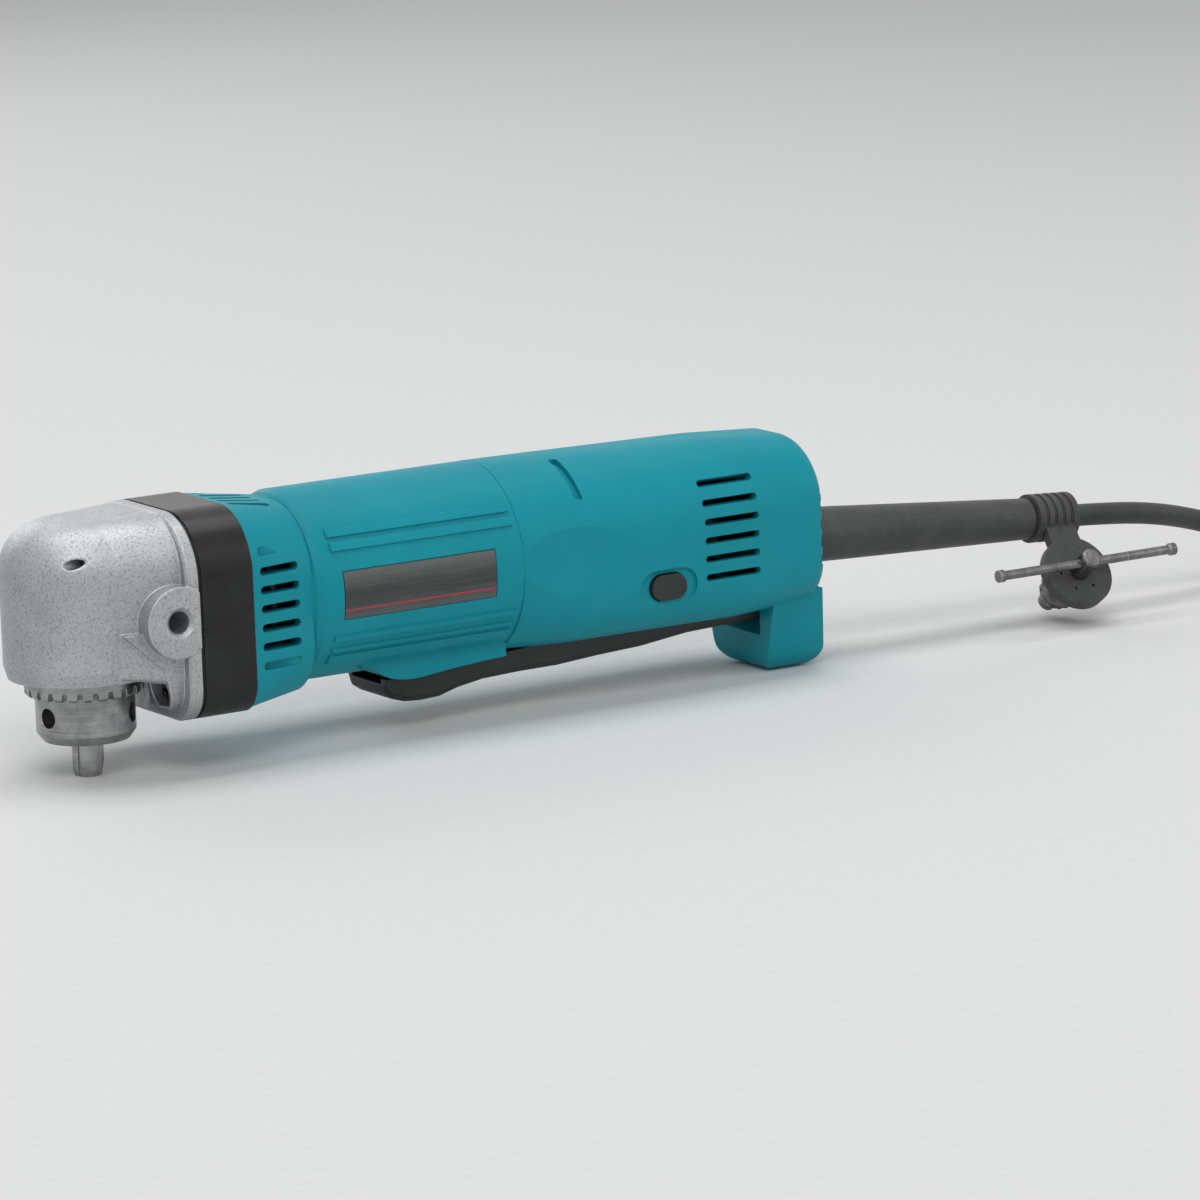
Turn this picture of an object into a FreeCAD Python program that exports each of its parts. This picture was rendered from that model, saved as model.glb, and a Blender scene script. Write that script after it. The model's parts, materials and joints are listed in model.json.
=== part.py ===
"""Corded right angle drill with a keyed three-jaw chuck, in millimetres.

Frame: the origin is on the spindle axis at the tips of the chuck jaws, +X runs along the
body towards the cord, +Z points up along the spindle, and -Y is the near side.  The tool
stands level on the jaw tips and on the foot at the rear of the handle.
"""
import FreeCAD
import Part
import math
import os

V = FreeCAD.Vector
UP = V(0, 0, 1)
ALONG = V(1, 0, 0)
ACROSS = V(0, 1, 0)

# Clearances
running_gap = 0.05          # radial gap of a shaft or sleeve that turns in its seat
sliding_gap = 0.3           # gap beside a part that swings or slides

# Main axes
motor_axis_z = 48.7         # motor and handle axis above the jaw tips
barrel_radius = 29.6        # round motor housing; its neighbours follow it
barrel_top_z = motor_axis_z + barrel_radius
barrel_low_z = motor_axis_z - barrel_radius
gear_distance = 14.0        # intermediate shaft above the motor axis
shaft_z = motor_axis_z + gear_distance

# Chuck
jaw_angle = 15.5            # inclination of each jaw to the spindle, degrees
jaw_radius = 3.15
jaw_tip_offset = 1.0        # jaw axis to spindle axis at the tips, jaws closed
jaw_length_z = 30.0
jaw_nose_radius = 4.75      # the exposed noses are ground to this cylinder
jaw_seam = 0.06             # half gap between neighbouring closed jaws
grip_radius = 0.75          # smallest shank that the closed jaws grip
chuck_capacity = 10.0       # largest shank diameter
chuck_bottom_z = 11.4
chuck_nose_radius = 13.1
chuck_nose_chamfer = 2.6
chuck_radius = 15.0
chuck_upper_radius = 16.2
chuck_top_z = 45.0
chuck_mouth_radius = 5.2
chuck_mouth_depth = 13.6
nut_bottom_z = 26.5
nut_height = 4.0
nut_groove_radius = 11.2
sleeve_radius = 18.0
sleeve_bottom_z = 25.4
sleeve_top_z = 43.8
sleeve_neck_radius = 17.5
sleeve_teeth = 24
sleeve_tooth_height = 3.8
sleeve_tooth_gap = 2.5      # width of a tooth space at its mouth
key_hole_radius = 3.1
key_hole_z = 19.6
key_hole_depth = 6.6
key_hole_turn = 73.0        # direction of one of the three key holes, degrees from +X

# Spindle
spindle_thread_radius = 4.76
spindle_thread_length = 17.0
spindle_radius = 5.0
spindle_collar_radius = 6.6
spindle_collar_height = 1.4
spindle_journal_radius = 4.0
lower_bearing_radius = 13.0
lower_bearing_height = 6.0
upper_bush_radius = 7.0
upper_bush_height = 7.5
upper_bush_z = 66.0
retaining_ring_radius = 7.4

# Gears
bevel_module = 1.0
bevel_gear_teeth = 35
bevel_pinion_teeth = 12
bevel_face = 6.2
bevel_gear_back = 2.0       # thickness of the bevel gear behind its teeth
reduction_module = 0.7
reduction_gear_teeth = 32
reduction_pinion_teeth = 8
reduction_gear_x = 28.4
reduction_gear_width = 8.6
tooth_addendum = 0.75       # in modules
tooth_dedendum = 1.0
tooth_fill = 0.36           # tooth thickness as a share of the circular pitch
pressure_angle = 20.0

# Intermediate shaft
shaft_bearing_radius = 9.5
shaft_bearing_width = 6.0
shaft_bearing_x = 18.0
shaft_radius = 3.0
shaft_bush_radius = 5.0
shaft_bush_width = 3.6
shaft_bush_x = 37.3

# Gear housing
head_radius = 23.9
head_rim_radius = 22.8
head_rim_z = 30.9
head_top_z = 78.1
head_edge_radius = 15.0
chuck_chamber_radius = 19.6
chuck_chamber_gap = 0.5     # above the chuck
neck_half_width = 27.6
flange_x = 19.4
flange_end_x = 23.4
flange_half_width = barrel_radius + 1.4
flange_bottom_z = barrel_low_z - 2.2
flange_top_z = barrel_top_z + 0.6
flange_top_corner = 19.0
flange_bottom_corner = 10.5
boss_x = 16.6
boss_z = 48.6
boss_radius = 10.8
boss_hole_radius = 3.4      # wall of the M8 thread for the side handle
boss_hole_depth = 12.0
boss_countersink = 1.2
screw_spread = 20.0         # housing screws to the middle plane
upper_screw_z = 68.0
lower_screw_z = 26.6
screw_pocket_radius = 5.6
groove_tip_x = -15.0
screw_head_radius = 4.15
screw_head_height = 2.8
screw_shank_radius = 2.0
screw_end_x = 54.0

# Gear housing cover
cover_end_x = 41.9
bulkhead_x = 37.2
cover_groove_depth = 0.6
cover_groove_width = 1.2
motor_bearing_radius = 11.0
motor_bearing_width = 7.0
bearing_boss_wall = 2.6

# Motor housing
vent_zone_end_x = 64.0
shoulder_x = 66.0
housing_joint_x = 137.2
housing_bore_radius = barrel_radius - 3.6
fan_chamber_radius = barrel_radius - 4.4
vent_count = 7
vent_pitch = 5.75
vent_width = 2.5
vent_x = 44.9
vent_length = 14.3
top_vent_count = 5
vent_depth = 14.0
blind_vent_depth = 4.5      # the outermost side vents stop in the wall
belly_half_width = 16.5
strip_start_x = 71.3
strip_end_x = 135.0
strip_height = 0.7
label_start_x = 73.8
label_end_x = 127.4
label_half_angle = 14.7
label_recess = 0.5
label_thickness = 0.45

# Motor
armature_shaft_radius = 4.0
armature_nose_radius = 2.3
core_radius = 14.6
core_x = 72.0
core_slots = 12
winding_radius = 13.2
winding_overhang = 5.5
commutator_radius = 10.0
commutator_x = 122.0
commutator_length = 13.0
commutator_bars = 24
rear_bearing_radius = 9.5
rear_bearing_width = 6.0
rear_bearing_x = 139.0
rear_journal_radius = 3.0
fan_x = 52.0
fan_width = 11.0
fan_radius = fan_chamber_radius - 1.4
fan_hub_radius = 9.0
fan_blades = 11
baffle_x = 64.4
baffle_thickness = 1.6
baffle_opening = 19.0
field_radius = housing_bore_radius - 0.4
field_x = 70.0
field_length = 42.0
core_length = field_x + field_length - core_x
air_gap = 0.6
brush_width = 6.3
brush_thickness = 8.0
brush_x = 128.5
brush_holder_wall = 1.5
brush_holder_end = housing_bore_radius - 0.7

# Handle
handle_wall = 2.8
handle_waist_x = 160.0
handle_rear_x = 219.0
handle_end_x = 251.0
rear_edge_radius = 6.0
rear_slot_count = 6
rear_slot_pitch = 5.8
rear_slot_x = 204.0
rear_slot_length = 20.4
rear_slot_width = 2.2
rear_slot_top_z = 65.7
scallop_count = 6
scallop_pitch = 5.6
scallop_radius = 2.3
scallop_top_z = 64.5
arc_groove_x = 159.4
arc_groove_width = 3.0
arc_groove_depth = 0.9
arc_groove_low = 37.0       # ends of the groove, degrees above the horizontal
arc_groove_high = 73.5
thumb_rest_x = 159.0        # shallow hollow for the thumb, both sides
thumb_rest_z = 53.0
thumb_rest_depth = 1.3
thumb_rest_radius = 110.0
foot_half_width = 19.0
foot_top_z = 26.5
handle_screw_radius = 1.75
handle_screw_places = [(151.0, 67.5), (151.0, 31.0), (232.0, 66.0), (243.4, 23.6)]
handle_screw_head = 3.4
handle_screw_depth = 17.0   # seat of the heads from the middle plane
handle_boss_radius = 4.4

# Switch lever
lever_pivot_x = 234.0
lever_pivot_z = 23.6
lever_pin_radius = 2.0
lever_pin_length = 34.0
lever_swing = 3.0           # degrees, nose of the lever rising
lever_half_width = 11.4
lever_wall = 2.6
lever_edge_radius = 2.0
lever_nose_x = 97.0
lever_shoulder_x = 118.0    # the sides begin to rise here
lever_tail_x = 238.6
switch_x = 168.0
switch_length = 44.0
switch_half_width = 9.0
switch_bottom_z = 28.5
switch_height = 22.0
plunger_x = 174.0
plunger_width = 6.0
plunger_depth = 10.0

# Reversing button
button_x = 190.0
button_z = 35.8
button_length = 12.6
button_height = 8.0
button_proud = 1.6
button_travel = 4.0
button_pocket_length = 21.0
button_pocket_height = 11.2
button_pocket_depth = 1.2

# Cord guard and cord
guard_x = 246.0
guard_z = 40.2
guard_droop = 3.85          # degrees below the horizontal
guard_length = 98.7
guard_root_radius = 9.0
guard_end_radius = 6.7
guard_flange_radius = 12.0
guard_tail_radius = 5.3
guard_tail_length = 18.0
cord_diameter = 7.2
cord_clamp_x = 229.0
cord_clamp_width = 9.0
cord_start_back = 22.0      # captive cord inside the handle, ahead of the guard

# Key holder and key
holder_collar_radius = 7.9
holder_collar_width = 15.4
holder_slope = 54.5         # slope of the holder's flap and disc, degrees
holder_reach = 22.2         # collar axis to disc centre, down the slope
holder_rise = 3.2           # flap above the collar axis, square to the slope
holder_disc_radius = 12.2
holder_disc_thickness = 3.6
holder_strap_width = 11.0
key_shank_radius = 3.3
key_pilot_radius = 3.0
key_head_radius = 6.3
key_teeth = 11
key_above = 11.5
key_below = 21.5
key_bar_radius = 1.5
key_bar_length = 70.0
key_bar_height = 7.5
key_pull = 24.0

# Coiled cord and plug
coil_start_x = 525.0
coil_start_y = 30.0
coil_outer = 46.0
coil_pitch = 7.9
coil_turns_per_layer = 1.5
coil_layers = 4
tail_bend_radius = 37.0
cord_sides = 12
plug_body_length = 34.0
plug_body_width = 25.0
plug_body_height = 17.0
blade_length = 17.0
blade_spacing = 12.7
blade_thickness = 1.5
blade_width = 6.35


# Helpers
def cyl(radius, length, base, axis=UP):
    return Part.makeCylinder(radius, length, base, axis)


def tube(outer, inner, length, base, axis=UP):
    return cyl(outer, length, base, axis).cut(cyl(inner, length, base, axis))


def block(x0, x1, y0, y1, z0, z1):
    return Part.makeBox(x1 - x0, y1 - y0, z1 - z0, V(x0, y0, z0))


def turned(points, centre, axis):
    """Solid of revolution; points are (radius, distance along the axis)."""
    side = ALONG if abs(axis.x) < 0.5 else UP
    side = (side - axis * side.dot(axis)).normalize()
    corners = [centre + side * r + axis * h for r, h in points]
    face = Part.Face(Part.makePolygon(corners + [corners[0]]))
    return face.revolve(centre, axis, 360)


def side_prism(points, y0, y1):
    """Prism across the tool from a side profile of (x, z) points."""
    corners = [V(x, y0, z) for x, z in points]
    face = Part.Face(Part.makePolygon(corners + [corners[0]]))
    return face.extrude(V(0, y1 - y0, 0))


def curve_prism(curve, closing, y0, y1):
    """Prism across the tool under a smooth (x, z) curve closed by straight lines."""
    spline = Part.BSplineCurve()
    spline.interpolate([V(x, y0, z) for x, z in curve])
    corners = [V(x, y0, z) for x, z in [curve[-1]] + closing + [curve[0]]]
    lines = [Part.makeLine(a, b) for a, b in zip(corners, corners[1:])]
    face = Part.Face(Part.Wire([spline.toShape()] + lines))
    return face.extrude(V(0, y1 - y0, 0))


def section(x, half_width, low, high, low_corner, high_corner):
    """Closed outline across the tool with rounded corners, at station x."""
    w = half_width
    b, t = low_corner, high_corner
    k = math.sqrt(0.5)

    def p(y, z):
        return V(x, y, z)

    edges = [
        Part.makeLine(p(-w + b, low), p(w - b, low)),
        Part.Arc(p(w - b, low), p(w - b + b * k, low + b - b * k), p(w, low + b)).toShape(),
        Part.makeLine(p(w, low + b), p(w, high - t)),
        Part.Arc(p(w, high - t), p(w - t + t * k, high - t + t * k), p(w - t, high)).toShape(),
        Part.makeLine(p(w - t, high), p(-w + t, high)),
        Part.Arc(p(-w + t, high), p(-w + t - t * k, high - t + t * k), p(-w, high - t)).toShape(),
        Part.makeLine(p(-w, high - t), p(-w, low + b)),
        Part.Arc(p(-w, low + b), p(-w + b - b * k, low + b - b * k), p(-w + b, low)).toShape(),
    ]
    return Part.Wire(edges)


def skin(sections, ruled=True):
    return Part.makeLoft(sections, True, ruled)


def stadium(length, height, centre, depth):
    """Prism along +Y with round ends, lengthwise along X."""
    r = height / 2
    half = length / 2 - r
    body = block(centre.x - half, centre.x + half, centre.y, centre.y + depth,
                 centre.z - r, centre.z + r)
    for side in (-half, half):
        body = body.fuse(cyl(r, depth, centre + V(side, 0, 0), ACROSS))
    return body.removeSplitter()


def fuse_all(shapes):
    first = shapes[0]
    return first.multiFuse(shapes[1:]).removeSplitter() if len(shapes) > 1 else first


def cut_all(shape, tools):
    return shape.cut(Part.makeCompound(tools)) if tools else shape


def around(shape, count, centre=V(0, 0, 0), axis=UP, start=0.0):
    """Copies of a shape turned evenly round an axis."""
    copies = []
    for i in range(count):
        copy = shape.copy()
        copy.rotate(centre, axis, start + 360.0 * i / count)
        copies.append(copy)
    return copies


def mirrored(shape):
    return shape.mirror(V(0, 0, 0), ACROSS)


def ball_bearing(outer, inner, width, centre, axis):
    """Two races with a narrow shield groove on each face."""
    pitch = (outer + inner) / 2
    groove = (outer - inner) * 0.12
    body = tube(outer, inner, width, centre, axis)
    for start in (0.0, width - 0.5):
        body = body.cut(tube(pitch + groove, pitch - groove, 0.5, centre + axis * start, axis))
    return body


pieces = {}


def keep(name, shape):
    solids = shape.Solids
    if len(solids) == 1:
        shape = solids[0]
    pieces[name] = shape


# Chuck: everything here turns about the spindle axis
def jaw_direction():
    lean = math.radians(jaw_angle)
    return V(math.sin(lean), 0, math.cos(lean))


def jaw_outer_line(z):
    """Distance from the spindle axis to the outer line of a jaw at height z."""
    lean = math.radians(jaw_angle)
    return jaw_tip_offset + z * math.tan(lean) + jaw_radius / math.cos(lean)


jaw_spread = chuck_capacity / 2 - grip_radius - 0.1
jaw_travel = jaw_spread / math.sin(math.radians(jaw_angle))
nut_top_z = nut_bottom_z + nut_height


def make_jaw():
    direction = jaw_direction()
    start = V(jaw_tip_offset, 0, 0) - direction * 8
    jaw = cyl(jaw_radius, jaw_length_z + 16, start, direction)
    jaw = jaw.common(cyl(30, jaw_length_z, V(0, 0, 0)))
    # the nose is ground round, and the tail stays inside the sleeve when the jaw is drawn in
    jaw = jaw.cut(tube(30, jaw_nose_radius, chuck_bottom_z - 0.4, V(0, 0, 0)))
    tail_limit = cyl(chuck_upper_radius - 0.1, jaw_length_z + 2, V(-jaw_spread, 0, -1))
    jaw = jaw.common(tail_limit)
    # the inner side is ground to a wedge, so that three jaws close round the shank
    wedge = Part.Face(Part.makePolygon([
        V(2 * jaw_seam, 0, 0), V(40, 38 * math.tan(math.radians(60)), 0),
        V(40, -38 * math.tan(math.radians(60)), 0), V(2 * jaw_seam, 0, 0)]))
    jaw = jaw.common(wedge.extrude(V(0, 0, jaw_length_z)))
    jaw = jaw.cut(cyl(grip_radius, jaw_length_z, V(0, 0, 0)))
    return jaw


first_jaw_turn = key_hole_turn + 60
for number, solid in enumerate(around(make_jaw(), 3, start=first_jaw_turn), 1):
    keep("chuck_jaw_%d" % number, solid)

chuck = turned([
    (0, chuck_bottom_z), (chuck_nose_radius, chuck_bottom_z),
    (chuck_radius, chuck_bottom_z + chuck_nose_chamfer), (chuck_radius, nut_bottom_z - 0.1),
    (nut_groove_radius, nut_bottom_z - 0.1), (nut_groove_radius, nut_top_z + 0.1),
    (chuck_upper_radius, nut_top_z + 0.1), (chuck_upper_radius, chuck_top_z), (0, chuck_top_z)],
    V(0, 0, 0), UP)
jaw_bore = cyl(jaw_radius + running_gap, 60, V(jaw_tip_offset, 0, 0), jaw_direction())
key_hole = cyl(key_hole_radius, key_hole_depth + 2,
               V(chuck_radius - key_hole_depth, 0, key_hole_z), ALONG)
chuck = cut_all(chuck, around(jaw_bore, 3, start=first_jaw_turn))
chuck = cut_all(chuck, around(key_hole, 3, start=key_hole_turn))
chuck = chuck.cut(cyl(chuck_mouth_radius, chuck_mouth_depth, V(0, 0, chuck_bottom_z)))
chuck = chuck.cut(cyl(spindle_thread_radius, spindle_thread_length,
                      V(0, 0, chuck_top_z - spindle_thread_length)))
keep("chuck_body", chuck)

nut_cone_low = jaw_outer_line(nut_bottom_z) + 0.1
nut_cone_high = jaw_outer_line(nut_top_z) + 0.1
nut_outer = chuck_upper_radius + running_gap
keep("chuck_nut", turned([
    (nut_cone_low, nut_bottom_z), (nut_outer, nut_bottom_z),
    (nut_outer, nut_top_z), (nut_cone_high, nut_top_z)], V(0, 0, 0), UP))

sleeve = turned([
    (chuck_radius + running_gap, sleeve_bottom_z), (sleeve_radius - 0.8, sleeve_bottom_z),
    (sleeve_radius, sleeve_bottom_z + 0.8), (sleeve_radius, nut_top_z + 1.0),
    (sleeve_neck_radius, nut_top_z + 1.8), (sleeve_neck_radius, sleeve_top_z),
    (nut_outer, sleeve_top_z), (nut_outer, nut_bottom_z),
    (chuck_radius + running_gap, nut_bottom_z)], V(0, 0, 0), UP)
gap_low = sleeve_tooth_gap / 2
gap_high = sleeve_tooth_gap / 2 - 0.7
tooth_gap = Part.Face(Part.makePolygon([
    V(chuck_radius - 1, -gap_low, sleeve_bottom_z - 0.5),
    V(chuck_radius - 1, gap_low, sleeve_bottom_z - 0.5),
    V(chuck_radius - 1, gap_high, sleeve_bottom_z + sleeve_tooth_height),
    V(chuck_radius - 1, -gap_high, sleeve_bottom_z + sleeve_tooth_height),
    V(chuck_radius - 1, -gap_low, sleeve_bottom_z - 0.5)])).extrude(V(8, 0, 0))
# the tooth spaces rise outwards from the bore, like those of a bevel gear
tooth_gap = tooth_gap.cut(turned([
    (0, sleeve_bottom_z + 0.9), (chuck_radius + 1.25, sleeve_bottom_z + 0.9),
    (sleeve_radius + 1, sleeve_bottom_z + sleeve_tooth_height + 0.1),
    (sleeve_radius + 1, sleeve_bottom_z + 9), (0, sleeve_bottom_z + 9)], V(0, 0, 0), UP))
sleeve = cut_all(sleeve, around(tooth_gap, sleeve_teeth, start=key_hole_turn))
keep("chuck_sleeve", sleeve)

# Spindle, screwed into the chuck and carried by a ball bearing and a bush
bearing_base_z = chuck_top_z + spindle_collar_height
bearing_top_z = bearing_base_z + lower_bearing_height
bevel_apex = V(0, 0, shaft_z)
bevel_gear_radius = bevel_module * bevel_gear_teeth / 2
bevel_pinion_radius = bevel_module * bevel_pinion_teeth / 2
bevel_distance = math.hypot(bevel_gear_radius, bevel_pinion_radius)
upper_bush_top_z = upper_bush_z + upper_bush_height
keep("spindle", turned([
    (0, chuck_top_z - spindle_thread_length), (spindle_thread_radius, chuck_top_z - spindle_thread_length),
    (spindle_thread_radius, chuck_top_z), (spindle_collar_radius, chuck_top_z),
    (spindle_collar_radius, bearing_base_z), (spindle_radius, bearing_base_z),
    (spindle_radius, upper_bush_z - 0.4), (spindle_journal_radius, upper_bush_z - 0.4),
    (spindle_journal_radius, upper_bush_top_z - 0.3), (0, upper_bush_top_z - 0.3)], V(0, 0, 0), UP))
keep("spindle_bearing", ball_bearing(lower_bearing_radius, spindle_radius + running_gap,
                                     lower_bearing_height, V(0, 0, bearing_base_z), UP))
keep("spindle_bush", tube(upper_bush_radius, spindle_journal_radius + running_gap,
                          upper_bush_height, V(0, 0, upper_bush_z)))


# Bevel pair: teeth taper towards the point where the two axes meet
def bevel_teeth(axis, count, mate, first):
    """Straight bevel teeth round an axis that leaves the apex; first is a tooth's direction."""
    angle = math.atan2(count, mate)
    outer = bevel_distance
    inner = bevel_distance - bevel_face
    half = math.pi * bevel_module * tooth_fill / 2
    slope = math.tan(math.radians(pressure_angle))
    addendum = tooth_addendum * bevel_module
    root = (tooth_dedendum + 0.3) * bevel_module
    along = axis * math.cos(angle) + first * math.sin(angle)
    normal = first * math.cos(angle) - axis * math.sin(angle)
    side = axis.cross(first)
    wires = []
    for distance in (outer, inner):
        scale = distance / outer
        centre = bevel_apex + along * distance
        tip = (half - addendum * slope) * scale
        base = (half + root * slope) * scale
        corners = [centre + normal * (addendum * scale) + side * tip,
                   centre + normal * (addendum * scale) - side * tip,
                   centre - normal * (root * scale) - side * base,
                   centre - normal * (root * scale) + side * base]
        wires.append(Part.makePolygon(corners + [corners[0]]))
    return around(Part.makeLoft(wires, True, True), count, bevel_apex, axis)


def bevel_root(axis, count, mate, back):
    """Blank under the teeth; back is the distance of its rear face from the apex."""
    angle = math.atan2(count, mate)
    points = []
    for distance in (bevel_distance - bevel_face, bevel_distance):
        depth = tooth_dedendum * bevel_module * distance / bevel_distance
        points.append((distance * math.sin(angle) - depth * math.cos(angle),
                       distance * math.cos(angle) + depth * math.sin(angle)))
    inner, outer = points
    return turned([(0, inner[1]), inner, outer, (outer[0], back), (0, back)], bevel_apex, axis)


gear_back = bevel_pinion_radius + tooth_dedendum * bevel_module + bevel_gear_back
gear = fuse_all([bevel_root(-UP, bevel_gear_teeth, bevel_pinion_teeth, gear_back)]
                + bevel_teeth(-UP, bevel_gear_teeth, bevel_pinion_teeth, ALONG))
gear = gear.cut(cyl(spindle_radius, 60, V(0, 0, 30)))
gear_bottom_z = shaft_z - gear_back
keep("bevel_gear", gear)
gear_top_z = gear.BoundBox.ZMax
keep("retaining_ring", tube(retaining_ring_radius, spindle_radius, gear_bottom_z - bearing_top_z - 0.1,
                            V(0, 0, bearing_top_z + 0.05)))

# Intermediate shaft with its bevel pinion in one piece, and the gear pressed on it
pinion_back = bevel_distance * math.cos(math.atan2(bevel_pinion_teeth, bevel_gear_teeth)) + 0.4
shaft_end_x = shaft_bush_x + shaft_bush_width - 0.4
half_pitch = 180.0 / bevel_pinion_teeth
pinion = fuse_all([bevel_root(ALONG, bevel_pinion_teeth, bevel_gear_teeth, pinion_back)]
                  + bevel_teeth(ALONG, bevel_pinion_teeth, bevel_gear_teeth, -UP))
pinion.rotate(bevel_apex, ALONG, half_pitch)
shaft = cyl(shaft_radius, shaft_end_x - 12, V(12, 0, shaft_z), ALONG)
keep("intermediate_shaft", fuse_all([pinion, shaft]))
keep("intermediate_bearing", ball_bearing(shaft_bearing_radius, shaft_radius + running_gap,
                                          shaft_bearing_width, V(shaft_bearing_x, 0, shaft_z), ALONG))
keep("intermediate_bush", tube(shaft_bush_radius, shaft_radius + running_gap, shaft_bush_width,
                               V(shaft_bush_x, 0, shaft_z), ALONG))


# Reduction pair: the armature's pinion drives the gear on the intermediate shaft
def spur_blank(count, x, width, centre_z, turn):
    """Toothed disc across the motor axis with straight tapered teeth."""
    pitch_radius = reduction_module * count / 2
    tip_radius = pitch_radius + tooth_addendum * reduction_module
    root_radius = pitch_radius - tooth_dedendum * reduction_module
    half = math.pi * reduction_module * tooth_fill / 2
    slope = math.tan(math.radians(pressure_angle))
    tip = half - tooth_addendum * reduction_module * slope
    base = half + tooth_dedendum * reduction_module * slope
    corners = []
    for i in range(count):
        angle = 2 * math.pi * i / count + turn
        for radius, offset in ((root_radius, -base), (tip_radius, -tip), (tip_radius, tip), (root_radius, base)):
            bearing = angle + math.asin(offset / radius)
            corners.append(V(x, radius * math.sin(bearing), centre_z + radius * math.cos(bearing)))
    return Part.Face(Part.makePolygon(corners + [corners[0]])).extrude(V(width, 0, 0))


gear = spur_blank(reduction_gear_teeth, reduction_gear_x, reduction_gear_width, shaft_z, math.pi)
hub = cyl(shaft_radius + 2.4, shaft_bush_x - 0.4 - reduction_gear_x,
          V(reduction_gear_x, 0, shaft_z), ALONG)
gear = gear.fuse(hub).cut(cyl(shaft_radius, 30, V(reduction_gear_x - 5, 0, shaft_z), ALONG))
keep("reduction_gear", gear)

# Gear housing: a round nose that widens into a square flange
bell_points = [(0, head_rim_z), (head_rim_radius, head_rim_z), (head_radius, head_rim_z + 4.0),
               (head_radius, head_top_z), (0, head_top_z)]
bell = turned(bell_points, V(0, 0, 0), UP)
top_ring = [e for e in bell.Edges if e.Closed and abs(e.CenterOfMass.z - head_top_z) < 0.01]
bell = bell.makeFillet(head_edge_radius, top_ring)
neck = skin([
    section(0, head_radius, head_rim_z + 1.5, head_top_z, 1.0, head_edge_radius),
    section(flange_x + 1, neck_half_width, head_rim_z - 3.0, head_top_z + 0.4, 3.0, head_edge_radius + 1)])
flange = skin([
    section(flange_x, flange_half_width - 0.8, flange_bottom_z + 0.8, flange_top_z - 0.8,
            flange_bottom_corner - 0.8, flange_top_corner - 0.8),
    section(flange_x + 0.8, flange_half_width, flange_bottom_z, flange_top_z,
            flange_bottom_corner, flange_top_corner)])
flange = flange.fuse(skin([
    section(x, flange_half_width, flange_bottom_z, flange_top_z, flange_bottom_corner, flange_top_corner)
    for x in (flange_x + 0.8, flange_end_x)]))
web = side_prism([(head_radius * 0.55, head_rim_z + 3), (flange_x - 3.6, lower_screw_z - 5.4),
                  (flange_x + 1, lower_screw_z - 5.8), (flange_x + 1, 46), (0, 46)],
                 -neck_half_width + 0.6, neck_half_width - 0.6)
web_corner = section(0, neck_half_width - 0.6, lower_screw_z - 6.5, 60, 8.0, 4.0)
web = web.common(Part.Face(web_corner).extrude(V(40, 0, 0)))
bosses = [cyl(boss_radius, flange_half_width + 0.6, V(boss_x, 0, boss_z), -ACROSS),
          cyl(boss_radius, flange_half_width + 0.6, V(boss_x, 0, boss_z), ACROSS)]
boss_limit = block(-60, flange_end_x, -60, 60, 0, 90)
bosses = [b.common(boss_limit) for b in bosses]
head = fuse_all([bell, neck, flange, web] + bosses).common(boss_limit)

screw_places = [(side * screw_spread, z) for side in (-1, 1) for z in (upper_screw_z, lower_screw_z)]
cuts = []
for y, z in screw_places:
    cuts.append(cyl(screw_shank_radius + 0.2, 20, V(flange_x - 4, y, z), ALONG))
    if z > motor_axis_z:
        tip = V(groove_tip_x, y * 0.96, z)
        cuts.append(Part.makeCone(1.2, screw_pocket_radius, flange_x - groove_tip_x, tip, ALONG))
    else:
        cuts.append(cyl(screw_pocket_radius, 12, V(flange_x - 12, y, z), ALONG))
chamber_top = gear_top_z + 1.2
pinion_pocket = bevel_pinion_radius + 2.2
cuts += [
    cyl(chuck_chamber_radius, chuck_top_z + chuck_chamber_gap - 10, V(0, 0, 10)),
    cyl(spindle_collar_radius + 1.2, 4, V(0, 0, chuck_top_z - 1)),
    cyl(lower_bearing_radius, lower_bearing_height, V(0, 0, bearing_base_z)),
    cyl(bevel_gear_radius + 1.6, chamber_top - bearing_top_z, V(0, 0, bearing_top_z)),
    cyl(upper_bush_radius, upper_bush_top_z - upper_bush_z + 0.4, V(0, 0, upper_bush_z)),
    cyl(spindle_radius + 1.0, upper_bush_z - chamber_top + 0.2, V(0, 0, chamber_top - 0.1)),
    cyl(pinion_pocket, shaft_bearing_x, V(0, 0, shaft_z), ALONG),
    cyl(shaft_bearing_radius, 10, V(shaft_bearing_x, 0, shaft_z), ALONG),
]
for side in (-1, 1):
    mouth = V(boss_x, side * (flange_half_width + 0.6), boss_z)
    inward = ACROSS * -side
    cuts.append(cyl(boss_hole_radius, boss_hole_depth + boss_countersink, mouth, inward))
    cuts.append(Part.makeCone(boss_hole_radius + boss_countersink, boss_hole_radius,
                              boss_countersink, mouth, inward))
keep("gear_housing", cut_all(head, cuts))

# Cover: a ring of the same outline with a bulkhead between the gears and the motor
ring_outline = (flange_half_width, flange_bottom_z, flange_top_z, flange_bottom_corner, flange_top_corner)
cover = skin([section(x, *ring_outline) for x in (flange_end_x, cover_end_x)])
groove_face = Part.Face(section(flange_end_x, *ring_outline))
inner_line = section(flange_end_x, flange_half_width - cover_groove_depth, flange_bottom_z + cover_groove_depth,
                     flange_top_z - cover_groove_depth, flange_bottom_corner - cover_groove_depth,
                     flange_top_corner - cover_groove_depth)
groove = groove_face.cut(Part.Face(inner_line)).extrude(V(cover_groove_width, 0, 0))
cover = cover.cut(groove)
motor_bearing_x = cover_end_x + 0.2
bearing_boss_radius = motor_bearing_radius + bearing_boss_wall
cover = cover.fuse(cyl(bearing_boss_radius, motor_bearing_width + 0.2, V(cover_end_x, 0, motor_axis_z), ALONG))
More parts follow.
